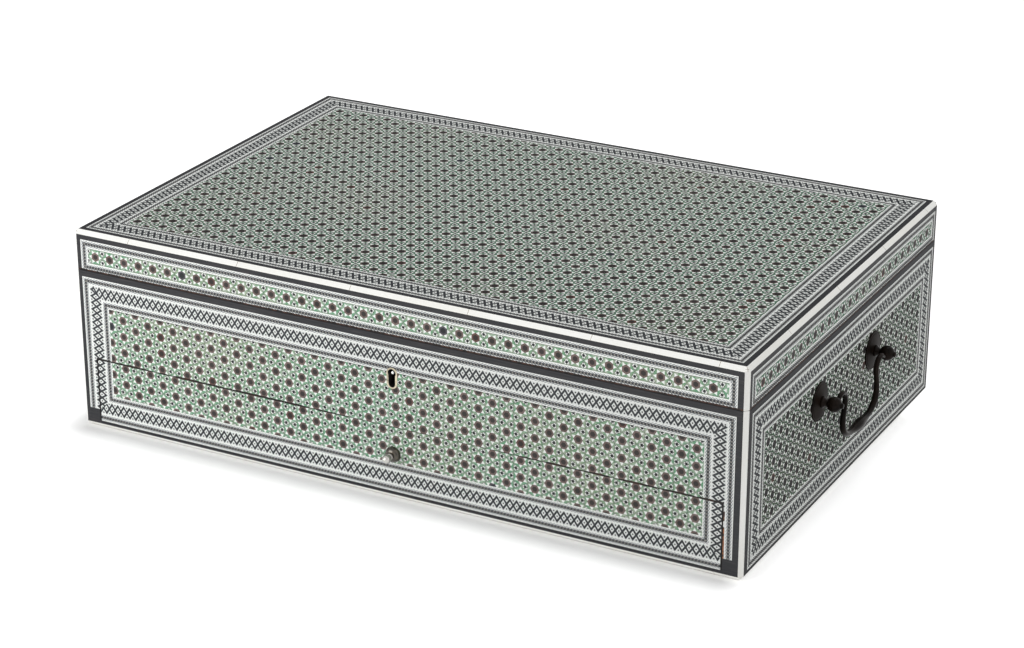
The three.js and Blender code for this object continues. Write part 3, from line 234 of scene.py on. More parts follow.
class Shop:
    """One material under construction, with its shader and its coordinates."""

    def __init__(self, name: str) -> None:
        """Starts an empty material.

        Args:
            name: The material's name.
        """
        self.material = bpy.data.materials.new(name)
        self.material.use_nodes = True
        self.tree = self.material.node_tree
        self.tree.nodes.clear()
        self.output = self.tree.nodes.new("ShaderNodeOutputMaterial")
        self.shader = self.tree.nodes.new("ShaderNodeBsdfPrincipled")
        self.tree.links.new(self.shader.outputs[0], self.output.inputs[0])

    def node(
        self,
        kind: str,
        settings: dict[str, object] | None = None,
        inputs: dict[int | str, Value] | None = None,
        output: int | str = 0,
    ) -> Wire:
        """Adds any node.

        Args:
            kind: The node's type.
            settings: Its own settings, set first.
            inputs: Values or wires for its sockets, by index or name.
            output: The output that is returned, by index or name.

        Returns:
            The chosen output.
        """
        made = self.tree.nodes.new(kind)
        for key, value in (settings or {}).items():
            setattr(made, key, value)
        for key, value in (inputs or {}).items():
            plug(self.tree, made.inputs[key], value)
        return Wire(self.tree, made.outputs[output])

    def mix(self, share: Value, first: Value, second: Value) -> Wire:
        """Mixes two colours: a share of 0 gives the first, 1 the second."""
        return self.node("ShaderNodeMix", {"data_type": "RGBA"}, {0: share, 6: first, 7: second}, 2)

    def place(self) -> tuple[Wire, Wire, Wire, Wire]:
        """Finds the point on the piece.

        Returns:
            Its x, y and z in millimetres, and the plain vector in metres.
        """
        vector = self.node("ShaderNodeTexCoord", output="Object")
        parts = self.tree.nodes.new("ShaderNodeSeparateXYZ")
        plug(self.tree, parts.inputs[0], vector)
        x, y, z = (Wire(self.tree, parts.outputs[k]) * (1.0 / MM) for k in range(3))
        return x, y, z, vector

    def point(self, x: Value, y: Value, z: Value = 0.0) -> Wire:
        """Joins three numbers to one vector."""
        return self.node("ShaderNodeCombineXYZ", inputs={0: x, 1: y, 2: z})

    def noise(self, at: Wire, scale: float, detail: float = 2.0, rough: float = 0.5) -> Wire:
        """Adds a soft noise from 0 to 1, with finer layers as detailed and as strong as asked."""
        inputs = {"Vector": at, "Scale": scale, "Detail": detail, "Roughness": rough}
        return self.node("ShaderNodeTexNoise", inputs=inputs)

    def chance(self, x: Value, y: Value) -> Wire:
        """Gives one random number from 0 to 1 for each whole-numbered cell."""
        cell = {"Vector": self.point(x, y)}
        return self.node("ShaderNodeTexWhiteNoise", {"noise_dimensions": "2D"}, cell, "Value")

    def step(self, value: Wire, start: float, end: float) -> Wire:
        """Rises smoothly from 0 at the start to 1 at the end."""
        inputs = {"Value": value, "From Min": start, "From Max": end}
        return self.node("ShaderNodeMapRange", {"interpolation_type": "SMOOTHSTEP"}, inputs)

    def bump(self, height: Wire, distance: float, strength: float = 1.0) -> Wire:
        """Makes a normal from a height, of which 1 stands for the distance in metres."""
        inputs = {"Strength": strength, "Distance": distance, "Height": height}
        return self.node("ShaderNodeBump", inputs=inputs)

    def finish(self, **sockets: Value) -> Material:
        """Sets the shader's sockets and gives the material.

        Args:
            sockets: Socket names with _ for spaces, and what they take.

        Returns:
            The finished material.
        """
        for key, value in sockets.items():
            plug(self.tree, self.shader.inputs[key.replace("_", " ")], value)
        return self.material


def dress(names: Iterable[str], material: Material) -> None:
    """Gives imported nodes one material."""
    for slot in [slot for name in names for slot in bpy.data.objects[name].material_slots]:
        slot.link, slot.material = "OBJECT", material


class Layout(Enum):
    """How a mosaic face is laid out inside its ebony frame."""

    FIELD = "guard, lozenge band and guard round a field of rosettes"
    ROW = "a guard round one row of rosettes"


@dataclass(frozen=True)
class Palette:
    """The inlay's colours on one face; the darker sets are painted shade, darker copies of the same colours
    with the same whites for the faces that get less light.
    """

    green: Tone = Tone.GREEN_BONE
    olive: Tone = Tone.OLIVE_BONE
    wood: Tone = Tone.SAPPAN
    pale: Tone = Tone.PALE_SAPPAN
    net: Tone = Tone.NET
    hatch: Tone = Tone.HATCH
    dash_ground: Tone = Tone.DASH_GROUND
    flecks: float = 0.31


# Base inlay colours, for the front and the back; the other two sets are painted shade.
BASE_TONES = Palette()
# Painted shade: a darker copy of the inlay colours for the top and the lid's ends.
HALF_SHADED_TONES = Palette(
    Tone.GREEN_MID, Tone.OLIVE_MID, Tone.SAPPAN_MID, Tone.PALE_MID,
    Tone.NET_DEEP, Tone.HATCH_DEEP, Tone.DASH_DEEP, flecks=0.09,
)
# Painted shade: the darkest copy of the inlay colours, for the sides.
SHADED_TONES = Palette(
    Tone.GREEN_DEEP, Tone.OLIVE_DEEP, Tone.SAPPAN_DEEP, Tone.PALE_DEEP,
    Tone.NET_DEEP, Tone.HATCH_DEEP, Tone.DASH_DEEP, flecks=0.04,
)


@dataclass(frozen=True)
class Rosettes:
    """Hexagonal rosettes ringed by white points, with starred triangles between them.

    The column and the pitch are in millimetres. The sizes below them are shares of the pitch.
    """

    column: float
    pitch: float
    hexagon: float = 0.25
    rim: float = 0.28
    core: float = 0.14
    ring: float = 0.195
    tip: float = 0.222
    corner: float = 0.215
    net: float = 0.011
    star: float = 0.062
    speck: float = 0.024
    white: float = 0.12
    vertex_dot: Pair = (0.0875, 0.1515)
    edge_dot: float = 0.118
    edge_speck: float = 0.8
    red_above: float = 0.972
    slate_below: float = 0.009
    ring_half: float = 0.012
    core_share: float = 0.84

    def paint(
        self,
        shop: Shop,
        side: Wire,
        along: Wire,
        ground: Wire,
        palette: Palette,
        ends: Pair | None = None,
    ) -> Wire:
        """Paints the field.

        Args:
            shop: The material under construction.
            side: Distance from a rosette across the rows, in millimetres.
            along: Distance from a rosette along a row of touching points, in millimetres.
            ground: The colour of the green ground.
            palette: The other colours.
            ends: The lowest and highest place along the row that a rosette's middle may have.

        Returns:
            The field's colour.
        """
        u = side * (ROOT3 / 2.0 / self.column)
        v = along * (1.0 / self.pitch)
        first_u, first_v = u.wrapped(ROOT3), v.wrapped(1.0)
        second_u, second_v = (u - ROOT3 / 2.0).wrapped(ROOT3), (v - 0.5).wrapped(1.0)
        nearer = first_u * first_u + first_v * first_v < second_u * second_u + second_v * second_v
        pu = second_u + nearer * (first_u - second_u)
        pv = second_v + nearer * (first_v - second_v)
        chance = shop.chance(((u - pu) * (2.0 / ROOT3)).whole(), ((v - pv) * 2.0).whole())

        lean, drop = pu * (ROOT3 / 2.0), pv * 0.5
        left, right = -lean - drop, lean - drop
        most = pv.high(left).high(right)
        least = -(pv.low(left).low(right))
        inner, star = most.high(least), most.low(least)

        half, rise = pu * 0.5, pv * (ROOT3 / 2.0)
        reach = abs(pu).high(abs(half + rise)).high(abs(half - rise))
        square = pu * pu + pv * pv
        step_aside = (square - reach * reach).high(0.0).root()
        inward = 1.0 / ROOT3 - reach
        corner = inward * 0.5 + step_aside * (ROOT3 / 2.0)
        inside = reach < ROOT3 / 4.0

        outside = 1.0 - inside
        paint = shop.mix(outside * (inward < self.white) * (corner < self.corner), ground, Tone.WHITE_BONE)
        dot_u, dot_v = inward - self.vertex_dot[0], step_aside - self.vertex_dot[1]
        near_vertex = dot_u * dot_u + dot_v * dot_v < self.speck**2
        edge_u = inward - self.edge_dot
        near_edge = edge_u * edge_u + step_aside * step_aside < (self.speck * self.edge_speck) ** 2
        paint = shop.mix(near_vertex.high(near_edge) * outside, paint, Tone.HORN)
        paint = shop.mix(corner.low(inward) < self.star, paint, Tone.HORN)
        paint = shop.mix(abs(reach - ROOT3 / 4.0) < self.net, paint, palette.net)
        whole = inner < self.hexagon
        tips = inside * (star < self.tip) * (1.0 - whole)
        if ends is not None:
            middle = (v - pv) * self.pitch
            whole = whole * ((middle > ends[0]) * (middle < ends[1]))
        paint = shop.mix(tips, paint, Tone.WHITE_BONE)
        faded = shop.mix(chance * 0.45, palette.wood, palette.pale)
        wood = shop.mix(chance > self.red_above, faded, Tone.RED_SAPPAN)
        wood = shop.mix(chance < self.slate_below, wood, Tone.SLATE)
        wood = shop.mix((abs(inner - self.ring) < self.ring_half) * 0.5, wood, palette.pale)
        wood = shop.mix((inner < self.core) * self.core_share, wood, Tone.HORN)
        return shop.mix(whole * (square < self.rim**2), paint, wood)


@dataclass(frozen=True)
class Guard:
    """A narrow strip: white lines, slanting hatches and a dashed dark middle.

    The width and the pitch are in millimetres. The rest are shares of them, but the slant,
    which is the way that a hatch runs along the strip for each millimetre across it.
    """

    width: float = 5.4
    pitch: float = 2.3
    slant: float = 2.2
    hatch: float = 0.23
    dash: float = 0.3
    dark: float = 0.13
    line_at: float = 0.16
    line: float = 0.03
    white: float = 0.385

    def paint(self, shop: Shop, inward: Wire, run: Wire, palette: Palette) -> Wire:
        """Paints the strip.

        Args:
            shop: The material under construction.
            inward: Distance from the strip's outer edge, in millimetres.
            run: Distance along it, in millimetres.
            palette: The face's colours.

        Returns:
            The strip's colour.
        """
        share = abs(inward * (1.0 / self.width) - 0.5)
        hatch = abs((run + inward * self.slant).wrapped(self.pitch)) < self.pitch * self.hatch
        paint = shop.mix(hatch, Tone.WHITE_BONE, palette.hatch)
        dash = abs(run.wrapped(self.pitch)) < self.pitch * self.dash
        middle = shop.mix(dash, palette.dash_ground, Tone.DASH)
        paint = shop.mix(share < self.dark, paint, middle)
        paint = shop.mix(abs(share - self.line_at) < self.line, paint, palette.hatch)
        return shop.mix(share > self.white, paint, Tone.WHITE_BONE)


@dataclass(frozen=True)
class Lozenges:
    """A white band with a chain of black diamonds, a dot in each and dots at its edges.

    The line and the place of the edge dots are shares of a diamond.
    """

    width: float = 9.8
    pitch: float = 4.881
    height: float = 3.6
    line: float = 0.34
    dot: float = 0.55
    edge_dot: float = 0.58
    edge_at: float = 0.97

    def paint(self, shop: Shop, inward: Wire, run: Wire) -> Wire:
        """Paints the band.

        Args:
            shop: The material under construction.
            inward: Distance from the band's outer edge, in millimetres.
            run: Distance along it from a diamond's middle, in millimetres.

        Returns:
            The band's colour.
        """
        rise = abs(inward - self.width / 2.0)
        step = abs(run.wrapped(self.pitch))
        diamond = step * (2.0 / self.pitch) + rise * (1.0 / self.height)
        black = abs(diamond - 1.0) < self.line
        middle = step * step + rise * rise < self.dot**2
        edge_step, edge_rise = self.pitch / 2.0 - step, rise - self.height * self.edge_at
        edge = edge_step * edge_step + edge_rise * edge_rise < self.edge_dot**2
        return shop.mix(black.high(middle).high(edge), Tone.BAND_BONE, Tone.BAND_HORN)


@dataclass(frozen=True)
class Spot:
    """A point of a face: its place in millimetres, and the noise that it is painted with."""

    across: Wire
    up: Wire
    inward: Wire
    run: Wire
    upright: Wire
    vector: Wire
    fleck: Wire
    ebony: Wire


@dataclass(frozen=True)
class Face:
    """One mosaic face: the axes it lies in, its outline and how its inlay is set out.

    The four widths of the ebony are those at the left, the right, the bottom and the top.
    """

    name: str
    nodes: tuple[str, ...]
    across: str
    up: str
    low: Pair
    high: Pair
    ebony: tuple[float, float, float, float]
    rosettes: Rosettes
    start: Pair
    layout: Layout = Layout.FIELD
    has_drawer: bool = False
    palette: Palette = BASE_TONES
    guard: Guard = Guard()
    lozenges: Lozenges = Lozenges()
    lozenge_start: Pair = (3.74, 1.7)
    # Share of painted shade: the face darkens towards its right end, where less light falls.
    painted_right_shade: float = 0.0
    gloss: float = 0.2
    drawer_half: float = 235.7
    drawer_top: float = 52.55
    block_top: float = 14.4
    seam_shade: Pair = (0.75, 0.9)
    slip: float = 0.6
    raw_top: float = 47.0

    def spot(self, shop: Shop) -> Spot:
        """Finds where a point lies between the face's borders.

        Args:
            shop: The material under construction.

        Returns:
            The point.
        """
        x, y, z, vector = shop.place()
        axes = {"x": x, "y": y, "z": z}
        across, up = axes[self.across], axes[self.up]
        left = across - (self.low[0] + self.ebony[0])
        right = (self.high[0] - self.ebony[1]) - across
        bottom = up - (self.low[1] + self.ebony[2])
        top = (self.high[1] - self.ebony[3]) - up
        side, level = left.low(right), bottom.low(top)
        upright = side < level
        run = across + upright * (up - across)
        if self.up == "z":
            along = shop.point(x * 0.02, y * 0.02, z * 0.5)
        else:
            along = shop.point(x * 0.02, y * 0.5)
        streak = shop.step(shop.noise(along, 3.0, 3.0), 0.45, 0.75)
        ebony = shop.mix(streak, Tone.EBONY, Tone.EBONY_STREAK)
        fleck = shop.noise(vector, 420.0, 2.0)
        return Spot(across, up, side.low(level), run, upright, vector, fleck, ebony)

    def dressed(self) -> Material:
        """Builds the face's material.

        Returns:
            The material.
        """
        shop = Shop(self.name)
        spot = self.spot(shop)
        olive = shop.step(shop.noise(spot.vector, 9.0, 3.0) * 0.6 + spot.fleck * 0.4, 0.44, 0.64) * 0.8
        ground = shop.mix(olive, self.palette.green, self.palette.olive)
        flecks = shop.step(spot.fleck, 0.34, 0.72) * self.palette.flecks
        ground = shop.mix(flecks, ground, Tone.WHITE_BONE)

        inlay = self.field if self.layout is Layout.FIELD else self.row
        edge = spot.inward < 0.0
        if self.has_drawer:
            edge = edge.high((abs(spot.across) > self.drawer_half) * (spot.up < self.block_top))
        paint = shop.mix(edge, inlay(shop, spot, ground), spot.ebony)
        paint = self.wear_and_gap_shade(shop, spot, paint)

        age = shop.step(shop.noise(spot.vector, 5.0, 4.0, 0.6), 0.2, 0.8) * 0.06
        paint = shop.mix(age, paint, Tone.DASH_GROUND)
        # Painted shade: darker towards the right end of the face, where less light falls.
        if self.painted_right_shade > 0.0:
            shade = shop.step(spot.across, self.low[0], self.high[0]) * self.painted_right_shade
            paint = shop.mix(shade, paint, Tone.HORN)
        rough = 0.36 + spot.fleck * 0.10 - edge * 0.04
        relief = shop.bump(shop.noise(spot.vector, 140.0, 3.0), 0.00006, 0.6)
        return shop.finish(Base_Color=paint, Roughness=rough, Normal=relief, Specular_IOR_Level=self.gloss)

    def field(self, shop: Shop, spot: Spot, ground: Wire) -> Wire:
        """Paints the two guards, the lozenge band and the field inside them.

        Args:
            shop: The material under construction.
            spot: The point.
            ground: The green ground's colour.

        Returns:
            The colour inside the ebony.
        """
        wide = self.guard.width
        band_start = wide + 0.1
        second_start = band_start + self.lozenges.width
        side, along = spot.across - self.start[0], spot.up - self.start[1]
        paint = self.rosettes.paint(shop, side, along, ground, self.palette)
        in_guard = spot.inward - (1.0 - (spot.inward < band_start)) * second_start
        guard = self.guard.paint(shop, in_guard, spot.run, self.palette)
        start = self.lozenge_start[0] + spot.upright * (self.lozenge_start[1] - self.lozenge_start[0])
        band = self.lozenges.paint(shop, spot.inward - band_start, spot.run - start)
        paint = shop.mix(spot.inward < second_start + wide, paint, guard)
        middle = (spot.inward > band_start) * (spot.inward < second_start)
        return shop.mix(middle, paint, band)

    def row(self, shop: Shop, spot: Spot, ground: Wire) -> Wire:
        """Paints the guard and the single row of rosettes inside it.

        Args:
            shop: The material under construction.
            spot: The point.
            ground: The green ground's colour.

        Returns:
            The colour inside the ebony.
        """
        wide = self.guard.width
        room = wide + self.rosettes.hexagon * self.rosettes.pitch
        first = self.low[0] + self.ebony[0] + room - self.start[0]
        last = self.high[0] - self.ebony[1] - room - self.start[0]
        side, along = spot.up - self.start[1], spot.across - self.start[0]
        paint = self.rosettes.paint(shop, side, along, ground, self.palette, (first, last))
        paint = shop.mix(spot.inward < wide + 0.25, paint, Tone.WHITE_BONE)
        guard = self.guard.paint(shop, spot.inward, spot.run, self.palette)
        return shop.mix(spot.inward < wide, paint, guard)

    def wear_and_gap_shade(self, shop: Shop, spot: Spot, paint: Wire) -> Wire:
        """Adds the age marks and painted shade: at the foot of the lid's row, raw wood darkened as painted
        shade of the seam under the lid; round the drawer, a ragged line and side lines that are painted
        shade of its gap, mixed with cracked raw wood.

        Args:
            shop: The material under construction.
            spot: The point.
            paint: The colour so far.

        Returns:
            The worn colour.
        """
        across, up, fleck = spot.across, spot.up, spot.fleck
        if self.layout is Layout.ROW:
            # Painted shade: a dark band of raw wood at the foot of the lid's row, for the shaded seam under
            # the lid.
            seam_shade = up - self.low[1] < self.seam_shade[0] + fleck * self.seam_shade[1]
            return shop.mix(seam_shade, paint, shop.mix(shop.step(fleck, 0.4, 0.6), Tone.SEAM_WOOD, Tone.CRACK))
        if not self.has_drawer:
            return paint
        slow = shop.noise(spot.vector, 60.0, 4.0, 0.7)
        tight = shop.step(across, -60.0, -20.0) * (1.0 - shop.step(across, 60.0, 120.0))
        ragged = shop.step(slow, 0.26, 0.6) * 0.74 + 0.14
        thick = ragged * (1.0 - tight * 0.72) - shop.step(across, 0.0, 140.0) * 0.12
        # Painted shade of the drawer's top gap, mixed with cracked raw wood: a ragged dark line.
        line = abs(up - (self.drawer_top + slow * 0.6 - 0.3)) < thick
        inside = abs(across) < self.drawer_half + self.slip
        crack_and_gap_shade = shop.mix(shop.step(slow, 0.52, 0.68), Tone.CRACK, Tone.SEAM_WOOD)
        paint = shop.mix(line * inside, paint, crack_and_gap_shade)
        beside = across - self.drawer_half
        lost = (beside > 0.0) * (beside < 0.7 + slow * 1.5) * (up < self.raw_top) * (up > self.block_top)
        raw = shop.mix(shop.step(fleck, 0.42, 0.56), Tone.RAW_WOOD, Tone.SEAM_WOOD)
        paint = shop.mix(lost * (slow > 0.42), paint, raw)
        # Painted shade: dark lines down the drawer's gaps at its sides.
        drawer_gap_shade = abs(abs(across) - self.drawer_half) < 0.2 + slow * 0.75
        upright = (up < self.drawer_top) * (up > self.low[1] + self.ebony[2])
        return shop.mix(drawer_gap_shade * upright, paint, Tone.CRACK)


@dataclass(frozen=True)
class Bone:
    """Polished bone strip with fine streaks and thin joints along its length."""

    name: str = "bone_strip"
    every: float = 87.0
    joint: float = 0.13
    first: Pair = (31.0, 17.0)
    bare_end: float = 10.0
    mitre: float = 0.16
    mitred: bool = False
    corner: Place = (250.0, 165.0, 146.0)

    def dressed(self) -> Material:
        """Builds the material.

        Returns:
            The material.
        """
        shop = Shop(self.name)
        x, y, z, vector = shop.place()
        streaks = shop.noise(shop.point(x * 0.06, y * 0.06, z * 0.06), 14.0, 5.0, 0.65)
        cloud = shop.noise(vector, 22.0, 3.0)
        paint = shop.mix(shop.step(streaks * 0.55 + cloud * 0.45, 0.36, 0.68), Tone.IVORY, Tone.CREAM)
        along = abs((x + self.first[0]).wrapped(self.every)) < self.joint
        across = abs((y + self.first[1]).wrapped(self.every * 0.93)) < self.joint
        joints = along * (abs(x) < self.corner[0] - self.bare_end)
        joints = joints.high(across * (abs(y) < self.corner[1] - self.bare_end))
        if self.mitred:
            far_x, far_y, far_z = (end - way for end, way in zip(self.corner, (abs(x), abs(y), z)))
            in_corner = (far_x < 3.1) * (far_y < 3.1)
            flat = (abs(far_x - far_y) < self.mitre) * (far_z < 3.0)
            front = (abs(far_x - far_z) < self.mitre) * (far_y > far_z - 0.1)
            end = (abs(far_y - far_z) < self.mitre) * (far_x > far_z - 0.1)
            joints = joints.high(flat.high(front).high(end) * in_corner)
        paint = shop.mix(joints, paint, Tone.BONE_JOINT)
        relief = shop.bump(streaks, 0.00005, 0.5)
        return shop.finish(Base_Color=paint, Roughness=0.3 + streaks * 0.18, Normal=relief)


@dataclass(frozen=True)
class Wood:
    """A cabinet wood with grain along one axis."""

    name: str
    pale: Tone
    dark: Tone
    grain: str = "x"
    rough: float = 0.52

    def dressed(self) -> Material:
        """Builds the material.

        Returns:
            The material.
        """
        shop = Shop(self.name)
        x, y, z, _ = shop.place()
        scales = [0.03 if axis == self.grain else 0.5 for axis in "xyz"]
        along = shop.point(*(way * scale for way, scale in zip((x, y, z), scales)))
        figure = shop.noise(along, 0.35, 4.0, 0.6)
        fibre = shop.noise(along, 4.5, 3.0, 0.7)
        rings = abs((figure * 9.0).wrapped(1.0)) * 2.0
        paint = shop.mix(shop.step(rings * 0.5 + fibre * 0.5, 0.2, 0.85), self.dark, self.pale)
        relief = shop.bump(fibre, 0.00015, 0.5)
        return shop.finish(Base_Color=paint, Roughness=self.rough + fibre * 0.15, Normal=relief)


@dataclass(frozen=True)
class Metal:
    """A cast or rolled metal with tarnish in random patches."""

    name: str
    clean: Tone
    dull: Tone
    metallic: float = 0.9
    rough: float = 0.32
    spot: float = 130.0
    shine: float = 0.5

    def dressed(self) -> Material:
        """Builds the material.

        Returns:
            The material.
        """
        shop = Shop(self.name)
        vector = shop.place()[3]
        cloud = shop.noise(vector, self.spot, 4.0, 0.6)
        pits = shop.noise(vector, self.spot * 9.0, 2.0)
        paint = shop.mix(shop.step(cloud * 0.75 + pits * 0.25, 0.38, 0.66), self.clean, self.dull)
        relief = shop.bump(cloud * 0.6 + pits * 0.4, 0.00012, 0.5)
        shop.finish(Base_Color=paint, Metallic=self.metallic, Roughness=self.rough + cloud * 0.22)
        return shop.finish(Normal=relief, Specular_IOR_Level=self.shine)


@dataclass(frozen=True)
class KeyholeMetal:
    """The lock's metal at the keyhole: a silvery ring, a bore painted near black as shade, and a key pin
    painted near white as a glint.
    """

    name: str
    clean: Tone
    dull: Tone
    bore_shade_from: float
    bore_shade_to: float
    pin_height: float = 90.95
    pin: float = 1.25
    pin_tip: float = -160.6

    def dressed(self) -> Material:
        """Builds the material.

        Returns:
            The material.
        """
        shop = Shop(self.name)
        x, y, z, vector = shop.place()
        cloud = shop.noise(vector, 150.0, 4.0, 0.6)
        paint = shop.mix(shop.step(cloud, 0.42, 0.68), self.clean, self.dull)
        # Painted shade: everything inside the keyhole's bore is painted near black.
        bore_shade = (y > self.bore_shade_from) * (y < self.bore_shade_to)
        rise = z - self.pin_height
        # Painted highlight: the key pin's tip is bright metal, painted near white for its glint.
        bright = (x * x + rise * rise < self.pin**2) * (y < self.pin_tip) * (y > self.bore_shade_from)
        paint = shop.mix(bore_shade, paint, Tone.CRACK)
        paint = shop.mix(bright, paint, Tone.IVORY)
        metallic = (1.0 - bore_shade).high(bright) * 0.85
        rough = 0.24 + cloud * 0.2 + bore_shade * 0.4
        relief = shop.bump(cloud, 0.00008, 0.5)
        return shop.finish(Base_Color=paint, Metallic=metallic, Roughness=rough, Normal=relief)


@dataclass(frozen=True)
class KnobMetal:
    """Silvered brass, rubbed bright on the head and tarnished olive on the foot."""

    name: str = "knob_metal"
    rubbed_from: float = 169.6
    rubbed_to: float = 171.2

    def dressed(self) -> Material:
        """Builds the material.

        Returns:
            The material.
        """
        shop = Shop(self.name)
        _, y, _, vector = shop.place()
        cloud = shop.noise(vector, 260.0, 4.0, 0.6)
        bright = shop.step(cloud * 0.8 - y, self.rubbed_from, self.rubbed_to)
        foot = shop.mix(shop.step(cloud, 0.4, 0.66), Tone.SILVERED_DARK, Tone.SILVERED_DULL)
        paint = shop.mix(bright * (1.0 - shop.step(cloud, 0.6, 0.8) * 0.4), foot, Tone.SILVERED)
        relief = shop.bump(cloud, 0.00016, 0.6)
        rough = 0.2 + cloud * 0.12 - bright * 0.16
        shop.finish(Base_Color=paint, Metallic=0.92, Roughness=rough, Normal=relief)
        return shop.finish(Coat_Weight=0.9, Coat_Roughness=0.14)


@dataclass(frozen=True)
class Velvet:
    """Worn silk velvet, brushed lighter in patches."""

    name: str = "velvet"

    def dressed(self) -> Material:
        """Builds the material.

        Returns:
            The material.
        """
        shop = Shop(self.name)
        vector = shop.place()[3]
        brushed = shop.noise(vector, 30.0, 5.0, 0.65)
        pile = shop.noise(vector, 1600.0, 1.0)
        paint = shop.mix(shop.step(brushed * 0.6 + pile * 0.4, 0.36, 0.8), Tone.VELVET, Tone.VELVET_WORN)
        relief = shop.bump(pile * 0.6 + brushed * 0.4, 0.0003, 0.6)
        shop.finish(Base_Color=paint, Roughness=0.92, Normal=relief)
        return shop.finish(Sheen_Weight=0.25, Sheen_Roughness=0.4)


@dataclass(frozen=True)
class Paper:
    """Thin laid paper, foxed with age."""

    name: str = "lining_paper"

    def dressed(self) -> Material:
        """Builds the material.

        Returns:
            The material.
        """
        shop = Shop(self.name)
        x, _, _, vector = shop.place()
        spots = shop.noise(vector, 60.0, 5.0, 0.7)
        lines = abs(x.wrapped(1.4))
        paint = shop.mix(shop.step(spots, 0.52, 0.74), Tone.PAPER, Tone.PAPER_SPOT)
        relief = shop.bump(spots * 0.7 + lines * 0.3, 0.0001, 0.5)
        return shop.finish(Base_Color=paint, Roughness=0.85, Normal=relief)


@dataclass(frozen=True)
class Glass:
    """Thick moulded bottle glass with a faint ripple."""

    name: str = "bottle_glass"

    def dressed(self) -> Material:
        """Builds the material.

        Returns:
            The material.
        """
        shop = Shop(self.name)
        ripple = shop.bump(shop.noise(shop.place()[3], 70.0, 2.0), 0.0004, 0.4)
        shop.finish(Base_Color=Tone.GLASS, Roughness=0.04, Transmission_Weight=1.0)
        return shop.finish(IOR=1.5, Normal=ripple)


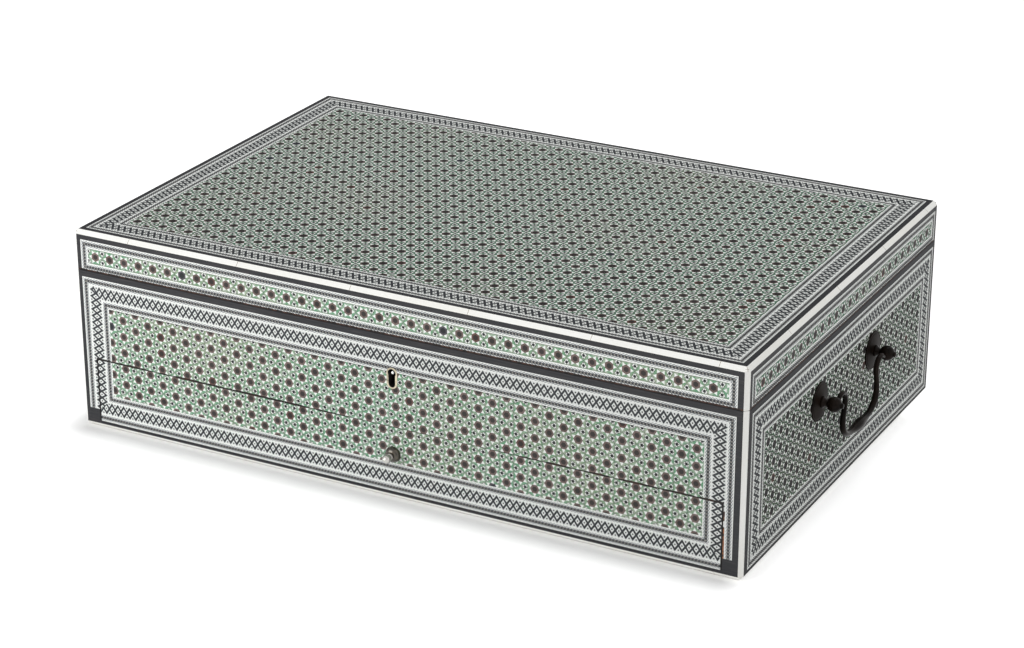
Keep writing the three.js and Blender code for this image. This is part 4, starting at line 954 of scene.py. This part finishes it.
class Bench:
    """Modelling steps as they are done by hand, one operator at a time."""

    @staticmethod
    def clear() -> None:
        """Leaves edit mode and deselects everything."""
        if bpy.context.object is not None and bpy.context.object.mode != "OBJECT":
            bpy.ops.object.mode_set(mode="OBJECT")
        bpy.ops.object.select_all(action="DESELECT")

    @staticmethod
    def take(piece: Piece) -> None:
        """Selects one piece alone and makes it the active one.

        Args:
            piece: The piece.
        """
        Bench.clear()
        piece.select_set(True)
        bpy.context.view_layer.objects.active = piece

    @staticmethod
    def begin(name: str) -> Piece:
        """Names the piece that was just added, and gives it."""
        bpy.context.object.name = bpy.context.object.data.name = name
        return bpy.context.object

    @staticmethod
    def cube(name: str, middle: Sequence[float], size: Sequence[float]) -> Piece:
        """Adds a block for the next steps to shape.

        Args:
            name: The piece's name.
            middle: Its middle, in millimetres.
            size: Its three widths, in millimetres.

        Returns:
            The piece.
        """
        Bench.clear()
        bpy.ops.mesh.primitive_cube_add(size=1.0, location=metres(middle))
        piece = Bench.begin(name)
        piece.scale = metres(size)
        bpy.ops.object.transform_apply(location=True, rotation=False, scale=True)
        return piece

    @staticmethod
    def modify(piece: Piece, kind: str, **settings: object) -> None:
        """Adds a modifier to the active piece and applies it.

        Args:
            piece: The piece.
            kind: The modifier's type.
            settings: The modifier's own settings.
        """
        bpy.ops.object.modifier_add(type=kind)
        modifier = piece.modifiers[-1]
        for key, value in settings.items():
            setattr(modifier, key, value)
        bpy.ops.object.modifier_apply(modifier=modifier.name)

    @staticmethod
    def select(piece: Piece, kind: str, test: Callable[[object], bool]) -> None:
        """Selects some faces, edges or vertices of the piece in edit mode.

        Args:
            piece: The piece in edit mode.
            kind: faces, edges or verts.
            test: Says whether an element is taken.
        """
        modes = {"verts": "VERT", "edges": "EDGE", "faces": "FACE"}
        bpy.ops.mesh.select_mode(type=modes[kind])
        bpy.ops.mesh.select_all(action="DESELECT")
        mesh = bmesh.from_edit_mesh(piece.data)
        for element in getattr(mesh, kind):
            if test(element):
                element.select_set(True)
        mesh.select_flush_mode()
        bmesh.update_edit_mesh(piece.data)

    @staticmethod
    def tidy(piece: Piece, smooth: float | None = 35.0) -> Piece:
        """Merges doubles, turns the normals outwards and puts the piece's place in its mesh.

        Args:
            piece: The piece.
            smooth: Faces meeting below this angle in degrees are shaded smooth.

        Returns:
            The piece.
        """
        Bench.take(piece)
        bpy.ops.object.mode_set(mode="EDIT")
        bpy.ops.mesh.select_all(action="SELECT")
        bpy.ops.mesh.remove_doubles(threshold=MERGED)
        bpy.ops.mesh.normals_make_consistent(inside=False)
        bpy.ops.object.mode_set(mode="OBJECT")
        bpy.ops.object.transform_apply(location=True, rotation=True, scale=True)
        if smooth is not None:
            bpy.ops.object.shade_smooth_by_angle(angle=math.radians(smooth))
        return piece

    @staticmethod
    def turned(
        name: str,
        profile: Sequence[Pair],
        place: Place,
        axis: str = "z",
        steps: int = 48,
    ) -> Piece:
        """Turns a piece from a profile drawn point by point.

        Args:
            name: The piece's name.
            profile: Radius and height of each point, in millimetres.
            place: Where its foot stands, in millimetres.
            axis: Which way it points: z, x, -x or -y.
            steps: Facets round it.

        Returns:
            The piece.
        """
        Bench.clear()
        bpy.ops.mesh.primitive_plane_add(size=MM)
        piece = Bench.begin(name)
        bpy.ops.object.mode_set(mode="EDIT")
        bpy.ops.mesh.select_mode(type="VERT")
        bpy.ops.mesh.select_all(action="SELECT")
        bpy.ops.mesh.merge(type="CENTER")
        points = [Vector((radius * MM, 0.0, height * MM)) for radius, height in profile]
        bpy.ops.transform.translate(value=points[0])
        for here, there in zip(points, points[1:]):
            bpy.ops.mesh.extrude_region_move(TRANSFORM_OT_translate={"value": there - here})
        bpy.ops.mesh.select_all(action="SELECT")
        bpy.ops.mesh.spin(steps=steps, angle=math.tau, center=(0.0, 0.0, 0.0), axis=(0.0, 0.0, 1.0))
        bpy.ops.object.mode_set(mode="OBJECT")
        turns = {"z": (0.0, 0.0), "x": (0.0, 90.0), "-x": (0.0, -90.0), "-y": (90.0, 0.0)}
        piece.rotation_euler = (*map(math.radians, turns[axis]), 0.0)
        piece.location = metres(place)
        return Bench.tidy(piece)

    @staticmethod
    def copied(piece: Piece, name: str) -> Piece:
        """Copies a finished piece with a mesh of its own.

        Args:
            piece: The piece that is copied.
            name: The copy's name.

        Returns:
            The copy.
        """
        Bench.take(piece)
        bpy.ops.object.duplicate(linked=False)
        return Bench.begin(name)

    @staticmethod
    def sheet(name: str, low: Place, high: Place, round_over: float = 0.3) -> Piece:
        """Cuts a thin board or panel with softened edges.

        Args:
            name: The piece's name.
            low: Its lowest corner, in millimetres.
            high: Its highest corner, in millimetres.
            round_over: Width of the softened edge, in millimetres.

        Returns:
            The piece.
        """
        corners = list(zip(low, high))
        piece = Bench.cube(name, [(a + b) / 2.0 for a, b in corners], [b - a for a, b in corners])
        bpy.ops.object.mode_set(mode="EDIT")
        bpy.ops.mesh.select_all(action="SELECT")
        bpy.ops.mesh.bevel(offset=round_over * MM, segments=2, affect="EDGES")
        bpy.ops.object.mode_set(mode="OBJECT")
        return Bench.tidy(piece)

    @staticmethod
    def fit(piece: Piece, body: str, material: Material, slot: str, *nodes: str) -> None:
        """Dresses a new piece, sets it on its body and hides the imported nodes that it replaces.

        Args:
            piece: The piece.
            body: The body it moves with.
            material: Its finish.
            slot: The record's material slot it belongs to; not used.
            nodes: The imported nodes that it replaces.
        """
        piece.data.materials.clear()
        piece.data.materials.append(material)
        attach(piece, body)
        if nodes:
            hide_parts(*nodes)


@dataclass
class MosaicFaces:
    """Every sadeli face of the box and the drawer."""

    half_x: float = 247.0
    half_y: float = 162.0
    body_low: float = 3.6
    body_high: float = 117.0
    lid_low: float = 117.4
    lid_high: float = 143.0

    def faces(self) -> list[Face]:
        """Lists the faces with their outlines and the rosettes' place on each.

        Returns:
            The faces.
        """
        x, y = self.half_x, self.half_y
        side = Rosettes(
            column=10.163, pitch=11.66, core=0.15, tip=0.232, corner=0.185, star=0.084, speck=0.034
        )
        wall = ((-x, self.body_low), (x, self.body_high))
        end = ((-y, self.body_low), (y, self.body_high))
        lid_wall = ((-x, self.lid_low), (x, self.lid_high))
        lid_end = ((-y, self.lid_low), (y, self.lid_high))
        flank = dict(rosettes=side, palette=SHADED_TONES, lozenges=Lozenges(line=0.42), gloss=0.025)
        row = dict(layout=Layout.ROW, guard=Guard(width=5.5))
        end_row = dict(row, palette=HALF_SHADED_TONES, gloss=0.05)
        front = Rosettes(column=10.22, pitch=11.97, speck=0.03, star=0.068)
        lid_front = Rosettes(column=10.3, pitch=11.768, speck=0.03)
        top = Rosettes(column=10.41, pitch=12.1, rim=0.26, core=0.14, tip=0.232, star=0.066, speck=0.024)
        return [
            Face("mosaic_top", ("lid_top_veneer",), "x", "y", (-x, -y), (x, y), (3.7, 3.7, 3.7, 3.7),
                 rosettes=top, start=(9.91, 0.72), palette=HALF_SHADED_TONES, guard=Guard(width=4.6),
                 lozenges=Lozenges(width=10.0, height=4.0, line=0.4), gloss=0.015),
            Face("mosaic_front", ("front_veneer", "drawer_veneer"), "x", "z", *wall, (2.9, 4.2, 2.2, 4.4),
                 rosettes=front, start=(-7.74, 61.6), has_drawer=True, painted_right_shade=0.16),
            Face("mosaic_back", ("back_veneer",), "x", "z", *wall, (3.2, 3.2, 2.2, 4.0),
                 rosettes=front, start=(-3.2, 58.0)),
            Face("mosaic_right", ("right_veneer",), "y", "z", *end, (5.0, 3.0, 2.2, 4.0),
                 start=(11.7, 59.8), **flank),
            Face("mosaic_left", ("left_veneer",), "y", "z", *end, (3.0, 3.0, 2.2, 4.0),
                 start=(-1.6, 62.0), **flank),
            Face("mosaic_lid_front", ("lid_front_veneer",), "x", "z", *lid_wall, (3.1, 3.9, 0.0, 3.3),
                 rosettes=lid_front, start=(3.25, 128.6), painted_right_shade=0.06, **row),
            Face("mosaic_lid_back", ("lid_back_veneer",), "x", "z", *lid_wall, (3.1, 3.1, 0.0, 3.3),
                 rosettes=Rosettes(column=10.3, pitch=11.767), start=(-2.1, 128.6), **row),
            Face("mosaic_lid_right", ("lid_right_veneer",), "y", "z", *lid_end, (3.1, 3.1, 0.0, 3.3),
                 rosettes=Rosettes(column=10.3, pitch=11.93), start=(0.5, 128.6), **end_row),
            Face("mosaic_lid_left", ("lid_left_veneer",), "y", "z", *lid_end, (3.1, 3.1, 0.0, 3.3),
                 rosettes=Rosettes(column=10.3, pitch=11.91), start=(-1.2, 128.6), **end_row),
        ]

    def build(self) -> None:
        """Dresses the veneers."""
        for face in self.faces():
            dress(face.nodes, face.dressed())
            LOG.info("dressed %s", face.name)


@dataclass
class Casework:
    """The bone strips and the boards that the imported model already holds."""

    def build(self) -> None:
        """Dresses the strips and the boards."""
        corners = [f"corner_edging_{end}_{side}" for end in ("front", "back") for side in ("left", "right")]
        dress([*corners, "base_edging"], Bone().dressed())
        dress(["lid_edging"], Bone(name="bone_lid_strip", mitred=True).dressed())
        teak, sandal = (Tone.TEAK, Tone.TEAK_DARK), (Tone.SANDALWOOD, Tone.SANDALWOOD_DARK)
        long_teak = ["base_board", "front_wall", "back_wall", "drawer_deck", "drawer_front"]
        dress([*long_teak, "lid_board", "lid_frame"], Wood("teak_long", *teak, "x").dressed())
        dress(["left_wall", "right_wall"], Wood("teak_short", *teak, "y").dressed())
        long_sandal = ["long_divider", "drawer_back", "drawer_bottom", "writing_board", "board_ledge"]
        dress([*long_sandal, "pen_tray"], Wood("sandalwood_long", *sandal, "x", 0.5).dressed())
        short_sandal = ["left_divider", "right_divider", "drawer_left_side", "drawer_right_side"]
        dress(short_sandal, Wood("sandalwood_short", *sandal, "y", 0.5).dressed())
        LOG.info("dressed the bone strips and the boards")


@dataclass
class Linings:
    """Velvet in the lid and on the writing board, paper in the wells and the drawer."""

    board_x: float = 234.7
    board_front: float = -149.7
    board_back: float = 60.7
    board_top: float = 109.0
    margin: float = 16.0
    notch_room: float = 8.0
    deck_top: float = 58.7
    drawer_floor: float = 11.55
    paper: float = 0.12

    def build(self) -> None:
        """Builds the linings."""
        velvet = Velvet().dressed()
        paper = Paper().dressed()
        dress(["lid_lining"], velvet)
        x = self.board_x - self.margin
        front = self.board_front + self.margin + self.notch_room
        back = self.board_back - self.margin
        low, high = (-x, front, self.board_top - 0.2), (x, back, self.board_top + 0.7)
        panel = Bench.sheet("writing_velvet", low, high)
        Bench.fit(panel, "writing_board", velvet, "velvet")
        deck, floor = (self.deck_top, 0.05), (self.drawer_floor, 0.1)
        for name, body, (level, sunk), low, high in (
            ("front_well_paper", "carcass", deck, (-228.5, -143.5), (228.5, 60.5)),
            ("middle_well_paper", "carcass", deck, (-140.5, 68.0), (140.5, 150.0)),
            ("left_well_paper", "carcass", deck, (-235.0, 68.0), (-153.0, 150.0)),
            ("right_well_paper", "carcass", deck, (153.0, 68.0), (235.0, 150.0)),
            ("drawer_paper", "drawer", floor, (-227.5, -150.0), (227.5, 142.5)),
        ):
            lining = Bench.sheet(name, (*low, level - sunk), (*high, level + self.paper), 0.03)
            Bench.fit(lining, body, paper, "sandalwood")
        LOG.info("built the velvet panel and the lining papers")


@dataclass
class SideHandle:
    """One swan-neck handle: two domed roses, two ball posts and the bail between them."""

    side: str
    sign: int
    face: float = 250.1
    spacing: float = 94.0
    height: float = 77.0
    standoff: float = 10.5
    rose: float = 13.5
    ball: float = 5.2
    smoothing: int = 2
    swell: float = 0.4
    crest: float = 0.68

    def rose_profile(self) -> list[Pair]:
        """Draws the rose: a thin rim, a fine groove and a low dome.

        Returns:
            Radius and height of each point.
        """
        radii = [11.9 - (11.9 - 2.5) * step / 10.0 for step in range(11)]
        dome = [(radius, 0.75 + 1.35 * math.cos(QUARTER * radius / self.rose)) for radius in radii]
        rim = [(2.5, 0.0), (self.rose, 0.0), (self.rose, 0.5), (13.2, 0.82), (12.7, 0.86), (12.3, 0.72)]
        return [*rim, *dome, (2.5, 0.0)]

    def post_profile(self) -> list[Pair]:
        """Draws the post: a collar on the rose, a short neck, the ball and its small tip.

        Returns:
            Radius and height of each point.
        """
        tip = math.acos(1.9 / self.ball)
        ball = arc(self.ball, self.standoff, -math.acos(2.1 / self.ball), tip, 14)
        top = self.standoff + self.ball * math.sin(tip)
        neck = [(0.0, 1.0), (3.7, 1.0), (3.9, 2.6), (3.9, 3.1), (3.5, 3.5), (2.7, 4.2), (2.3, 5.2)]
        return [*neck, *ball, (1.9, top + 0.8), (1.6, top + 1.3), (0.95, top + 1.6), (0.0, top + 1.6)]

    def bail(self) -> Piece:
        """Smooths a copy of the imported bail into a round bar.

        Returns:
            The bar.
        """
        bail = Bench.copied(bpy.data.objects[f"{self.side}_bail"], f"{self.side}_bail_bar")
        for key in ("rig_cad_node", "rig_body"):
            if key in bail:
                del bail[key]
        bpy.ops.object.parent_clear(type="CLEAR_KEEP_TRANSFORM")
        bpy.ops.object.mode_set(mode="EDIT")
        bpy.ops.mesh.select_all(action="SELECT")
        bpy.ops.mesh.remove_doubles(threshold=MERGED)
        blunt = math.radians(60.0)
        bpy.ops.mesh.tris_convert_to_quads(face_threshold=blunt, shape_threshold=blunt)
        bpy.ops.transform.shrink_fatten(value=self.swell * MM)
        Bench.select(bail, "verts", lambda v: v.co.z > self.height * MM)
        pivot = (0.0, 0.0, self.height * MM)
        bpy.ops.transform.resize(value=(1.0, 1.0, self.crest), center_override=pivot)
        bpy.ops.object.mode_set(mode="OBJECT")
        Bench.modify(bail, "SUBSURF", levels=self.smoothing, render_levels=self.smoothing)
        return Bench.tidy(bail, 60.0)

    def build(self, bronze: Material, patina: Material) -> None:
        """Builds the handle.

        Args:
            bronze: The finish of the bail and the posts.
            patina: The duller finish of the roses.
        """
        axis = "x" if self.sign > 0 else "-x"
        for end, way in (("front", -1), ("back", 1)):
            place = (self.sign * self.face, way * self.spacing / 2.0, self.height)
            rose = Bench.turned(f"rose_{self.side}_{end}", self.rose_profile(), place, axis, 64)
            Bench.fit(rose, "carcass", patina, "bronze", f"handle_rose_{self.side}_{end}")
            post = Bench.turned(f"post_{self.side}_{end}", self.post_profile(), place, axis, 40)
            Bench.fit(post, "carcass", bronze, "bronze", f"handle_post_{self.side}_{end}")
        Bench.fit(self.bail(), f"{self.side}_bail", bronze, "bronze", f"{self.side}_bail")
        LOG.info("built the %s handle", self.side)


@dataclass
class KeyPin:
    """The rounded tip of the lock's key pin, which shows in the keyhole."""

    radius: float = 1.05
    foot: float = -161.3
    length: float = 3.1
    height: float = 90.95

    def build(self, metal: Material) -> None:
        """Builds the tip.

        Args:
            metal: Its finish.
        """
        r, top = self.radius, self.length
        profile = [(0.0, 0.0), (r, 0.0), (r, top - 0.6)]
        profile += [(r * 0.9, top - 0.3), (r * 0.6, top - 0.08), (0.0, top)]
        tip = Bench.turned("key_pin_tip", profile, (0.0, self.foot, self.height), "-y", 24)
        Bench.fit(tip, "carcass", metal, "steel")
        LOG.info("built the key pin's tip")


@dataclass
class DrawerKnob:
    """The small turned knob on the drawer, worn bright on its head."""

    face: float = -165.0
    height: float = 32.9
    base: float = 5.6
    dome: float = 3.1
    ball: float = 3.1
    length: float = 11.6

    def profile(self) -> list[Pair]:
        """Draws the knob: a domed foot, a ringed neck and a round head.

        Returns:
            Radius and height of each point.
        """
        foot = [(0.0, 0.0), (self.base - 0.2, 0.0), (self.base, 0.2), (self.base, 0.6)]
        for step in range(1, 10):
            angle = QUARTER * step / 10.0
            foot.append((1.9 + (self.base - 2.1) * math.cos(angle), 0.6 + self.dome * math.sin(angle)))
        neck = [(1.9, 3.7), (1.7, 4.1), (2.1, 4.4), (2.3, 4.7), (2.1, 5.0), (1.8, 5.2)]
        head = arc(self.ball, self.length - self.ball, -math.acos(2.0 / self.ball), QUARTER, 18)
        return [*foot, *neck, *head]

    def build(self, metal: Material) -> None:
        """Builds the knob.

        Args:
            metal: Its finish.
        """
        knob = Bench.turned("knob", self.profile(), (0.0, self.face, self.height), "-y", 56)
        Bench.fit(knob, "drawer", metal, "brass", "drawer_knob")
        LOG.info("built the drawer knob")


@dataclass
class InkBottle:
    """A square glass bottle with planed corners, ink in it and a brass screw cap."""

    side: str
    sign: int
    centre_x: float = 193.9
    centre_y: float = 108.9
    foot: float = 59.0
    size: float = 54.0
    height: float = 38.0
    wall: float = 4.5
    neck: float = 13.0
    cap: float = 17.0
    thread: float = 1.3
    ink: float = 17.0

    def block(self, name: str, size: float, foot: float, height: float, corner: float) -> Piece:
        """Makes one square block with planed upright corners and a shouldered top.

        Args:
            name: The piece's name.
            size: Width across the flats, in millimetres.
            foot: Height of its foot, in millimetres.
            height: Its height to the shoulder, in millimetres.
            corner: Width of the planed corners, in millimetres.

        Returns:
            The block.
        """
        middle = (self.sign * self.centre_x, self.centre_y, foot + height / 2.0)
        piece = Bench.cube(name, middle, (size, size, height))
        bpy.ops.object.mode_set(mode="EDIT")
        steep = height * MM * 0.9
        Bench.select(piece, "edges", lambda e: abs(e.verts[0].co.z - e.verts[1].co.z) > steep)
        bpy.ops.mesh.bevel(offset=corner * MM, segments=3, affect="EDGES")
        Bench.select(piece, "faces", lambda f: f.normal.z > 0.9)
        bpy.ops.mesh.inset(thickness=size * MM * 0.12)
        bpy.ops.transform.translate(value=(0.0, 0.0, size * MM * 0.06))
        bpy.ops.object.mode_set(mode="OBJECT")
        return Bench.tidy(piece)

    def build(self, glass: Material, ink: Material, brass: Material) -> None:
        """Builds the bottle.

        Args:
            glass: The bottle's finish.
            ink: The ink's finish.
            brass: The cap's finish.
        """
        body = f"ink_bottle_{self.side}"
        shell = self.block(f"{body}_glass", self.size, self.foot, self.height, 7.0)
        Bench.take(shell)
        Bench.modify(shell, "BEVEL", width=0.8 * MM, segments=2)
        Bench.fit(shell, body, glass, "glass", body)
        pool = self.block(f"{body}_ink", self.size - 2 * self.wall, self.foot + self.wall, self.ink, 5.0)
        Bench.fit(pool, body, ink, "glass")
        place = (self.sign * self.centre_x, self.centre_y, self.foot + self.height)
        cap = [(0.0, 3.0), (self.neck, 3.0), (self.neck, 5.0), (self.cap, 5.2), (self.cap, 6.0)]
        for ring in range(4):
            cap += [(self.cap - 0.35, 6.5 + ring * self.thread), (self.cap, 7.1 + ring * self.thread)]
        cap += [(self.cap - 0.8, 12.0), (14.6, 14.0), (12.0, 14.9), (5.1, 15.8), (0.0, 16.0)]
        Bench.fit(Bench.turned(f"{body}_cap", cap, place, "z", 48), body, brass, "brass")
        LOG.info("built %s", body)


@dataclass
class Screws:
    """Countersunk slotted screws in the hinges, the lock's edge plate and the link plate."""

    head: float = 1.9
    proud: float = 0.1
    slot_width: float = 0.5
    slot_depth: float = 0.35
    body_top: float = 117.0
    lid_low: float = 117.4
    hinge: Pair = (150.0, 158.0)
    hinge_pitch: float = 19.0
    lock: Pair = (27.5, -156.2)
    turn: float = 0.7

    def pattern(self) -> Piece:
        """Makes one screw head at the origin with its slot cut in.

        Returns:
            The screw head.
        """
        r, top = self.head, self.proud
        profile = [(0.0, -0.9), (r * 0.55, -0.9), (r, 0.0), (r * 0.92, top), (0.0, top)]
        screw = Bench.turned("screw_pattern", profile, (0.0, 0.0, 0.0), "z", 20)
        blade = Bench.cube("screw_slot", (0.0, 0.0, top), (5.0, self.slot_width, 2.0 * self.slot_depth))
        Bench.take(screw)
        Bench.modify(screw, "BOOLEAN", operation="DIFFERENCE", object=blade)
        bpy.data.objects.remove(blade)
        return Bench.tidy(screw)

    def build(self, brass: Material) -> None:
        """Sets a screw in every hole.

        Args:
            brass: Their finish.
        """
        pattern = self.pattern()
        places = []
        for side, centre in (("left", -self.hinge[0]), ("right", self.hinge[0])):
            for k in range(3):
                at = (centre + (k - 1) * self.hinge_pitch, self.hinge[1])
                places += [(f"hinge_{side}_{k}", "carcass", *at), (f"hinge_lid_{side}_{k}", "lid", *at)]
        for k, x in enumerate((-self.lock[0], self.lock[0])):
            places += [(f"lock_{k}", "carcass", x, self.lock[1]), (f"link_{k}", "lid", x, self.lock[1])]
        for k, (name, body, x, y) in enumerate(places):
            level, tilt = (self.lid_low, math.pi) if body == "lid" else (self.body_top, 0.0)
            screw = Bench.copied(pattern, f"screw_{name}")
            screw.rotation_euler = (tilt, 0.0, self.turn * k)
            screw.location = metres((x, y, level))
            bpy.ops.object.transform_apply(location=True, rotation=True, scale=False)
            Bench.fit(screw, body, brass, "brass")
        bpy.data.objects.remove(pattern)
        LOG.info("set %d screws", len(places))


@dataclass
class Studio:
    """A pale floor, soft lamps and the camera at the photograph's angle."""

    camera_at: Place = (0.8452, -1.5880, 0.8269)
    azimuth: float = 28.011
    elevation: float = 22.985
    lens: float = 98.17
    ambient: float = 0.45
    floor_size: float = 16.0
    floor_drop: float = 0.2
    # Half widths of the painted shadow round the box's foot, and the distances over which it fades from
    # full to none.
    half_x: float = 240.0
    half_y: float = 135.0
    shadow: Pair = (-4.0, 28.0)
    glow: float = 0.6
    aim: Place = (0.0, 0.0, 0.07)

    @staticmethod
    def hang(name: str, data: bpy.types.ID, at: Sequence[float], way: Vector) -> Piece:
        """Puts a camera or a lamp in the scene.

        Args:
            name: Its name.
            data: The camera or the lamp.
            at: Its place in metres.
            way: Where it looks.

        Returns:
            The new object.
        """
        hung = bpy.data.objects.new(name, data)
        bpy.context.scene.collection.objects.link(hung)
        hung.location = at
        hung.rotation_mode = "QUATERNION"
        hung.rotation_quaternion = way.to_track_quat("-Z", "Y")
        return hung

    def camera(self) -> None:
        """Sets up the camera."""
        data = bpy.data.cameras.new("camera")
        data.lens = self.lens
        data.sensor_width = 36.0
        data.clip_start, data.clip_end = 0.05, 100.0
        a, e = math.radians(self.azimuth), math.radians(self.elevation)
        back = Vector((math.sin(a) * math.cos(e), -math.cos(a) * math.cos(e), math.sin(e)))
        bpy.context.scene.camera = self.hang("camera", data, self.camera_at, -back)

    @staticmethod
    def looked_at(tree: bpy.types.NodeTree) -> Wire:
        """Gives 1 for what the camera sees, straight or in a mirror or through glass.

        Args:
            tree: The node tree that asks.

        Returns:
            1 for such a ray, else 0.
        """
        path = tree.nodes.new("ShaderNodeLightPath")
        kinds = ("Camera", "Glossy", "Transmission")
        camera, glossy, through = (Wire(tree, path.outputs[f"Is {kind} Ray"]) for kind in kinds)
        return camera.high(glossy).high(through)

    def lamp(self, name: str, at: Sequence[float], size: float, power: float) -> None:
        """Hangs one soft square lamp that faces the box.

        Args:
            name: The lamp's name.
            at: Its place in metres.
            size: Its width in metres.
            power: Its power in watts.
        """
        data = bpy.data.lights.new(name, "AREA")
        data.shape = "SQUARE"
        data.size = size
        data.energy = power
        self.hang(name, data, at, Vector(self.aim) - Vector(at))

    def world(self) -> None:
        """Lights the scene evenly and shows white behind it."""
        world = bpy.data.worlds.new("studio")
        bpy.context.scene.world = world
        world.use_nodes = True
        tree = world.node_tree
        tree.nodes.clear()
        output = tree.nodes.new("ShaderNodeOutputWorld")
        mix = tree.nodes.new("ShaderNodeMixShader")
        plug(tree, mix.inputs[0], self.looked_at(tree))
        for slot, strength in ((1, self.ambient), (2, 1.0)):
            light = tree.nodes.new("ShaderNodeBackground")
            light.inputs[0].default_value = WHITE
            light.inputs[1].default_value = strength
            tree.links.new(light.outputs[0], mix.inputs[slot])
        tree.links.new(mix.outputs[0], output.inputs[0])

    def floor(self) -> None:
        """Lays the floor, white to the camera but near the box, where its glow fades out in a painted
        shadow round the box's foot and the floor's own lit shade shows.
        """
        Bench.clear()
        bpy.ops.mesh.primitive_plane_add(size=self.floor_size, location=(0.0, 0.0, -self.floor_drop * MM))
        floor = Bench.begin("floor")
        shop = Shop("floor")
        x, y, _, vector = shop.place()
        mottle = shop.mix(shop.noise(vector, 2.0, 2.0) * 0.04, Tone.FLOOR, Tone.IVORY)
        shop.finish(Base_Color=mottle, Roughness=0.9, Specular_IOR_Level=0.1)
        # Painted shadow: the glow fades out within a rounded rectangle round the box's foot, so the floor
        # shows darker there.
        past_x, past_y = (abs(x + 6.0) - self.half_x).high(0.0), (abs(y + 30.0) - self.half_y).high(0.0)
        clear = shop.step((past_x * past_x + past_y * past_y).root(), *self.shadow)
        plain = Wire(shop.tree, shop.shader.outputs[0])
        glow = shop.node("ShaderNodeEmission", inputs={0: WHITE, 1: self.glow})
        bright = shop.node("ShaderNodeAddShader", inputs={0: plain, 1: glow})
        lit = self.looked_at(shop.tree) * clear
        shown = shop.node("ShaderNodeMixShader", inputs={0: lit, 1: plain, 2: bright})
        plug(shop.tree, shop.output.inputs[0], shown)
        floor.data.materials.append(shop.material)

    def build(self) -> None:
        """Builds the studio."""
        self.camera()
        self.world()
        self.floor()
        self.lamp("key", (-1.1, -2.0, 0.75), 1.3, 28.5)
        self.lamp("top", (0.0, 0.8, 1.8), 1.2, 7.0)
        self.lamp("fill", (2.2, 0.4, 0.9), 2.4, 9.8)
        bpy.context.scene.view_settings.view_transform = "Standard"
        LOG.info("built the studio")


def main() -> None:
    """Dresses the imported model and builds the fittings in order."""
    logging.basicConfig(level=logging.INFO, format="%(name)s: %(message)s")
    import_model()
    Studio().build()
    MosaicFaces().build()
    Casework().build()
    Linings().build()
    worn = (Tone.BRONZE_WORN, Tone.BRONZE)
    bronze = Metal("bronze", *worn, metallic=0.12, rough=0.12, spot=70.0, shine=0.05).dressed()
    patina = Metal("bronze_patina", *worn, metallic=0.05, rough=0.3, spot=70.0, shine=0.02).dressed()
    brass = Metal("brass", Tone.BRASS, Tone.BRASS_DULL, rough=0.3).dressed()
    steel = Metal("steel", Tone.STEEL, Tone.STEEL_DULL, rough=0.4).dressed()
    # The two numbers after the tones bound the bore that is painted near black as shade.
    liner = KeyholeMetal("liner_metal", Tone.LINER, Tone.SILVERED_DULL, -164.9, 0.0).dressed()
    lock = KeyholeMetal("lock_metal", Tone.BRASS, Tone.BRASS_DULL, -170.0, -152.2).dressed()
    hinges = [f"hinge_{side}_{part}_leaf" for side in ("left", "right") for part in ("body", "lid")]
    dress([*hinges, "link_plate"], brass)
    dress(["keyhole_liner"], liner)
    dress(["lock_plate", "lock_case"], lock)
    dress(["hinge_left_pin", "hinge_right_pin", "lock_bolt"], steel)
    for side, sign in (("left", -1), ("right", 1)):
        SideHandle(side, sign).build(bronze, patina)
    DrawerKnob().build(KnobMetal().dressed())
    # Painted highlight: the pin tip is given near-white bone tones for its glint, over real bright metal.
    KeyPin().build(Metal("pin_metal", Tone.IVORY, Tone.BAND_BONE, metallic=0.6, rough=0.3).dressed())
    glass = Glass().dressed()
    ink = Metal("ink", Tone.INK, Tone.INK, metallic=0.0, rough=0.15).dressed()
    for side, sign in (("left", -1), ("right", 1)):
        InkBottle(side, sign).build(glass, ink, brass)
    Screws().build(brass)


if __name__ == "__main__":
    main()
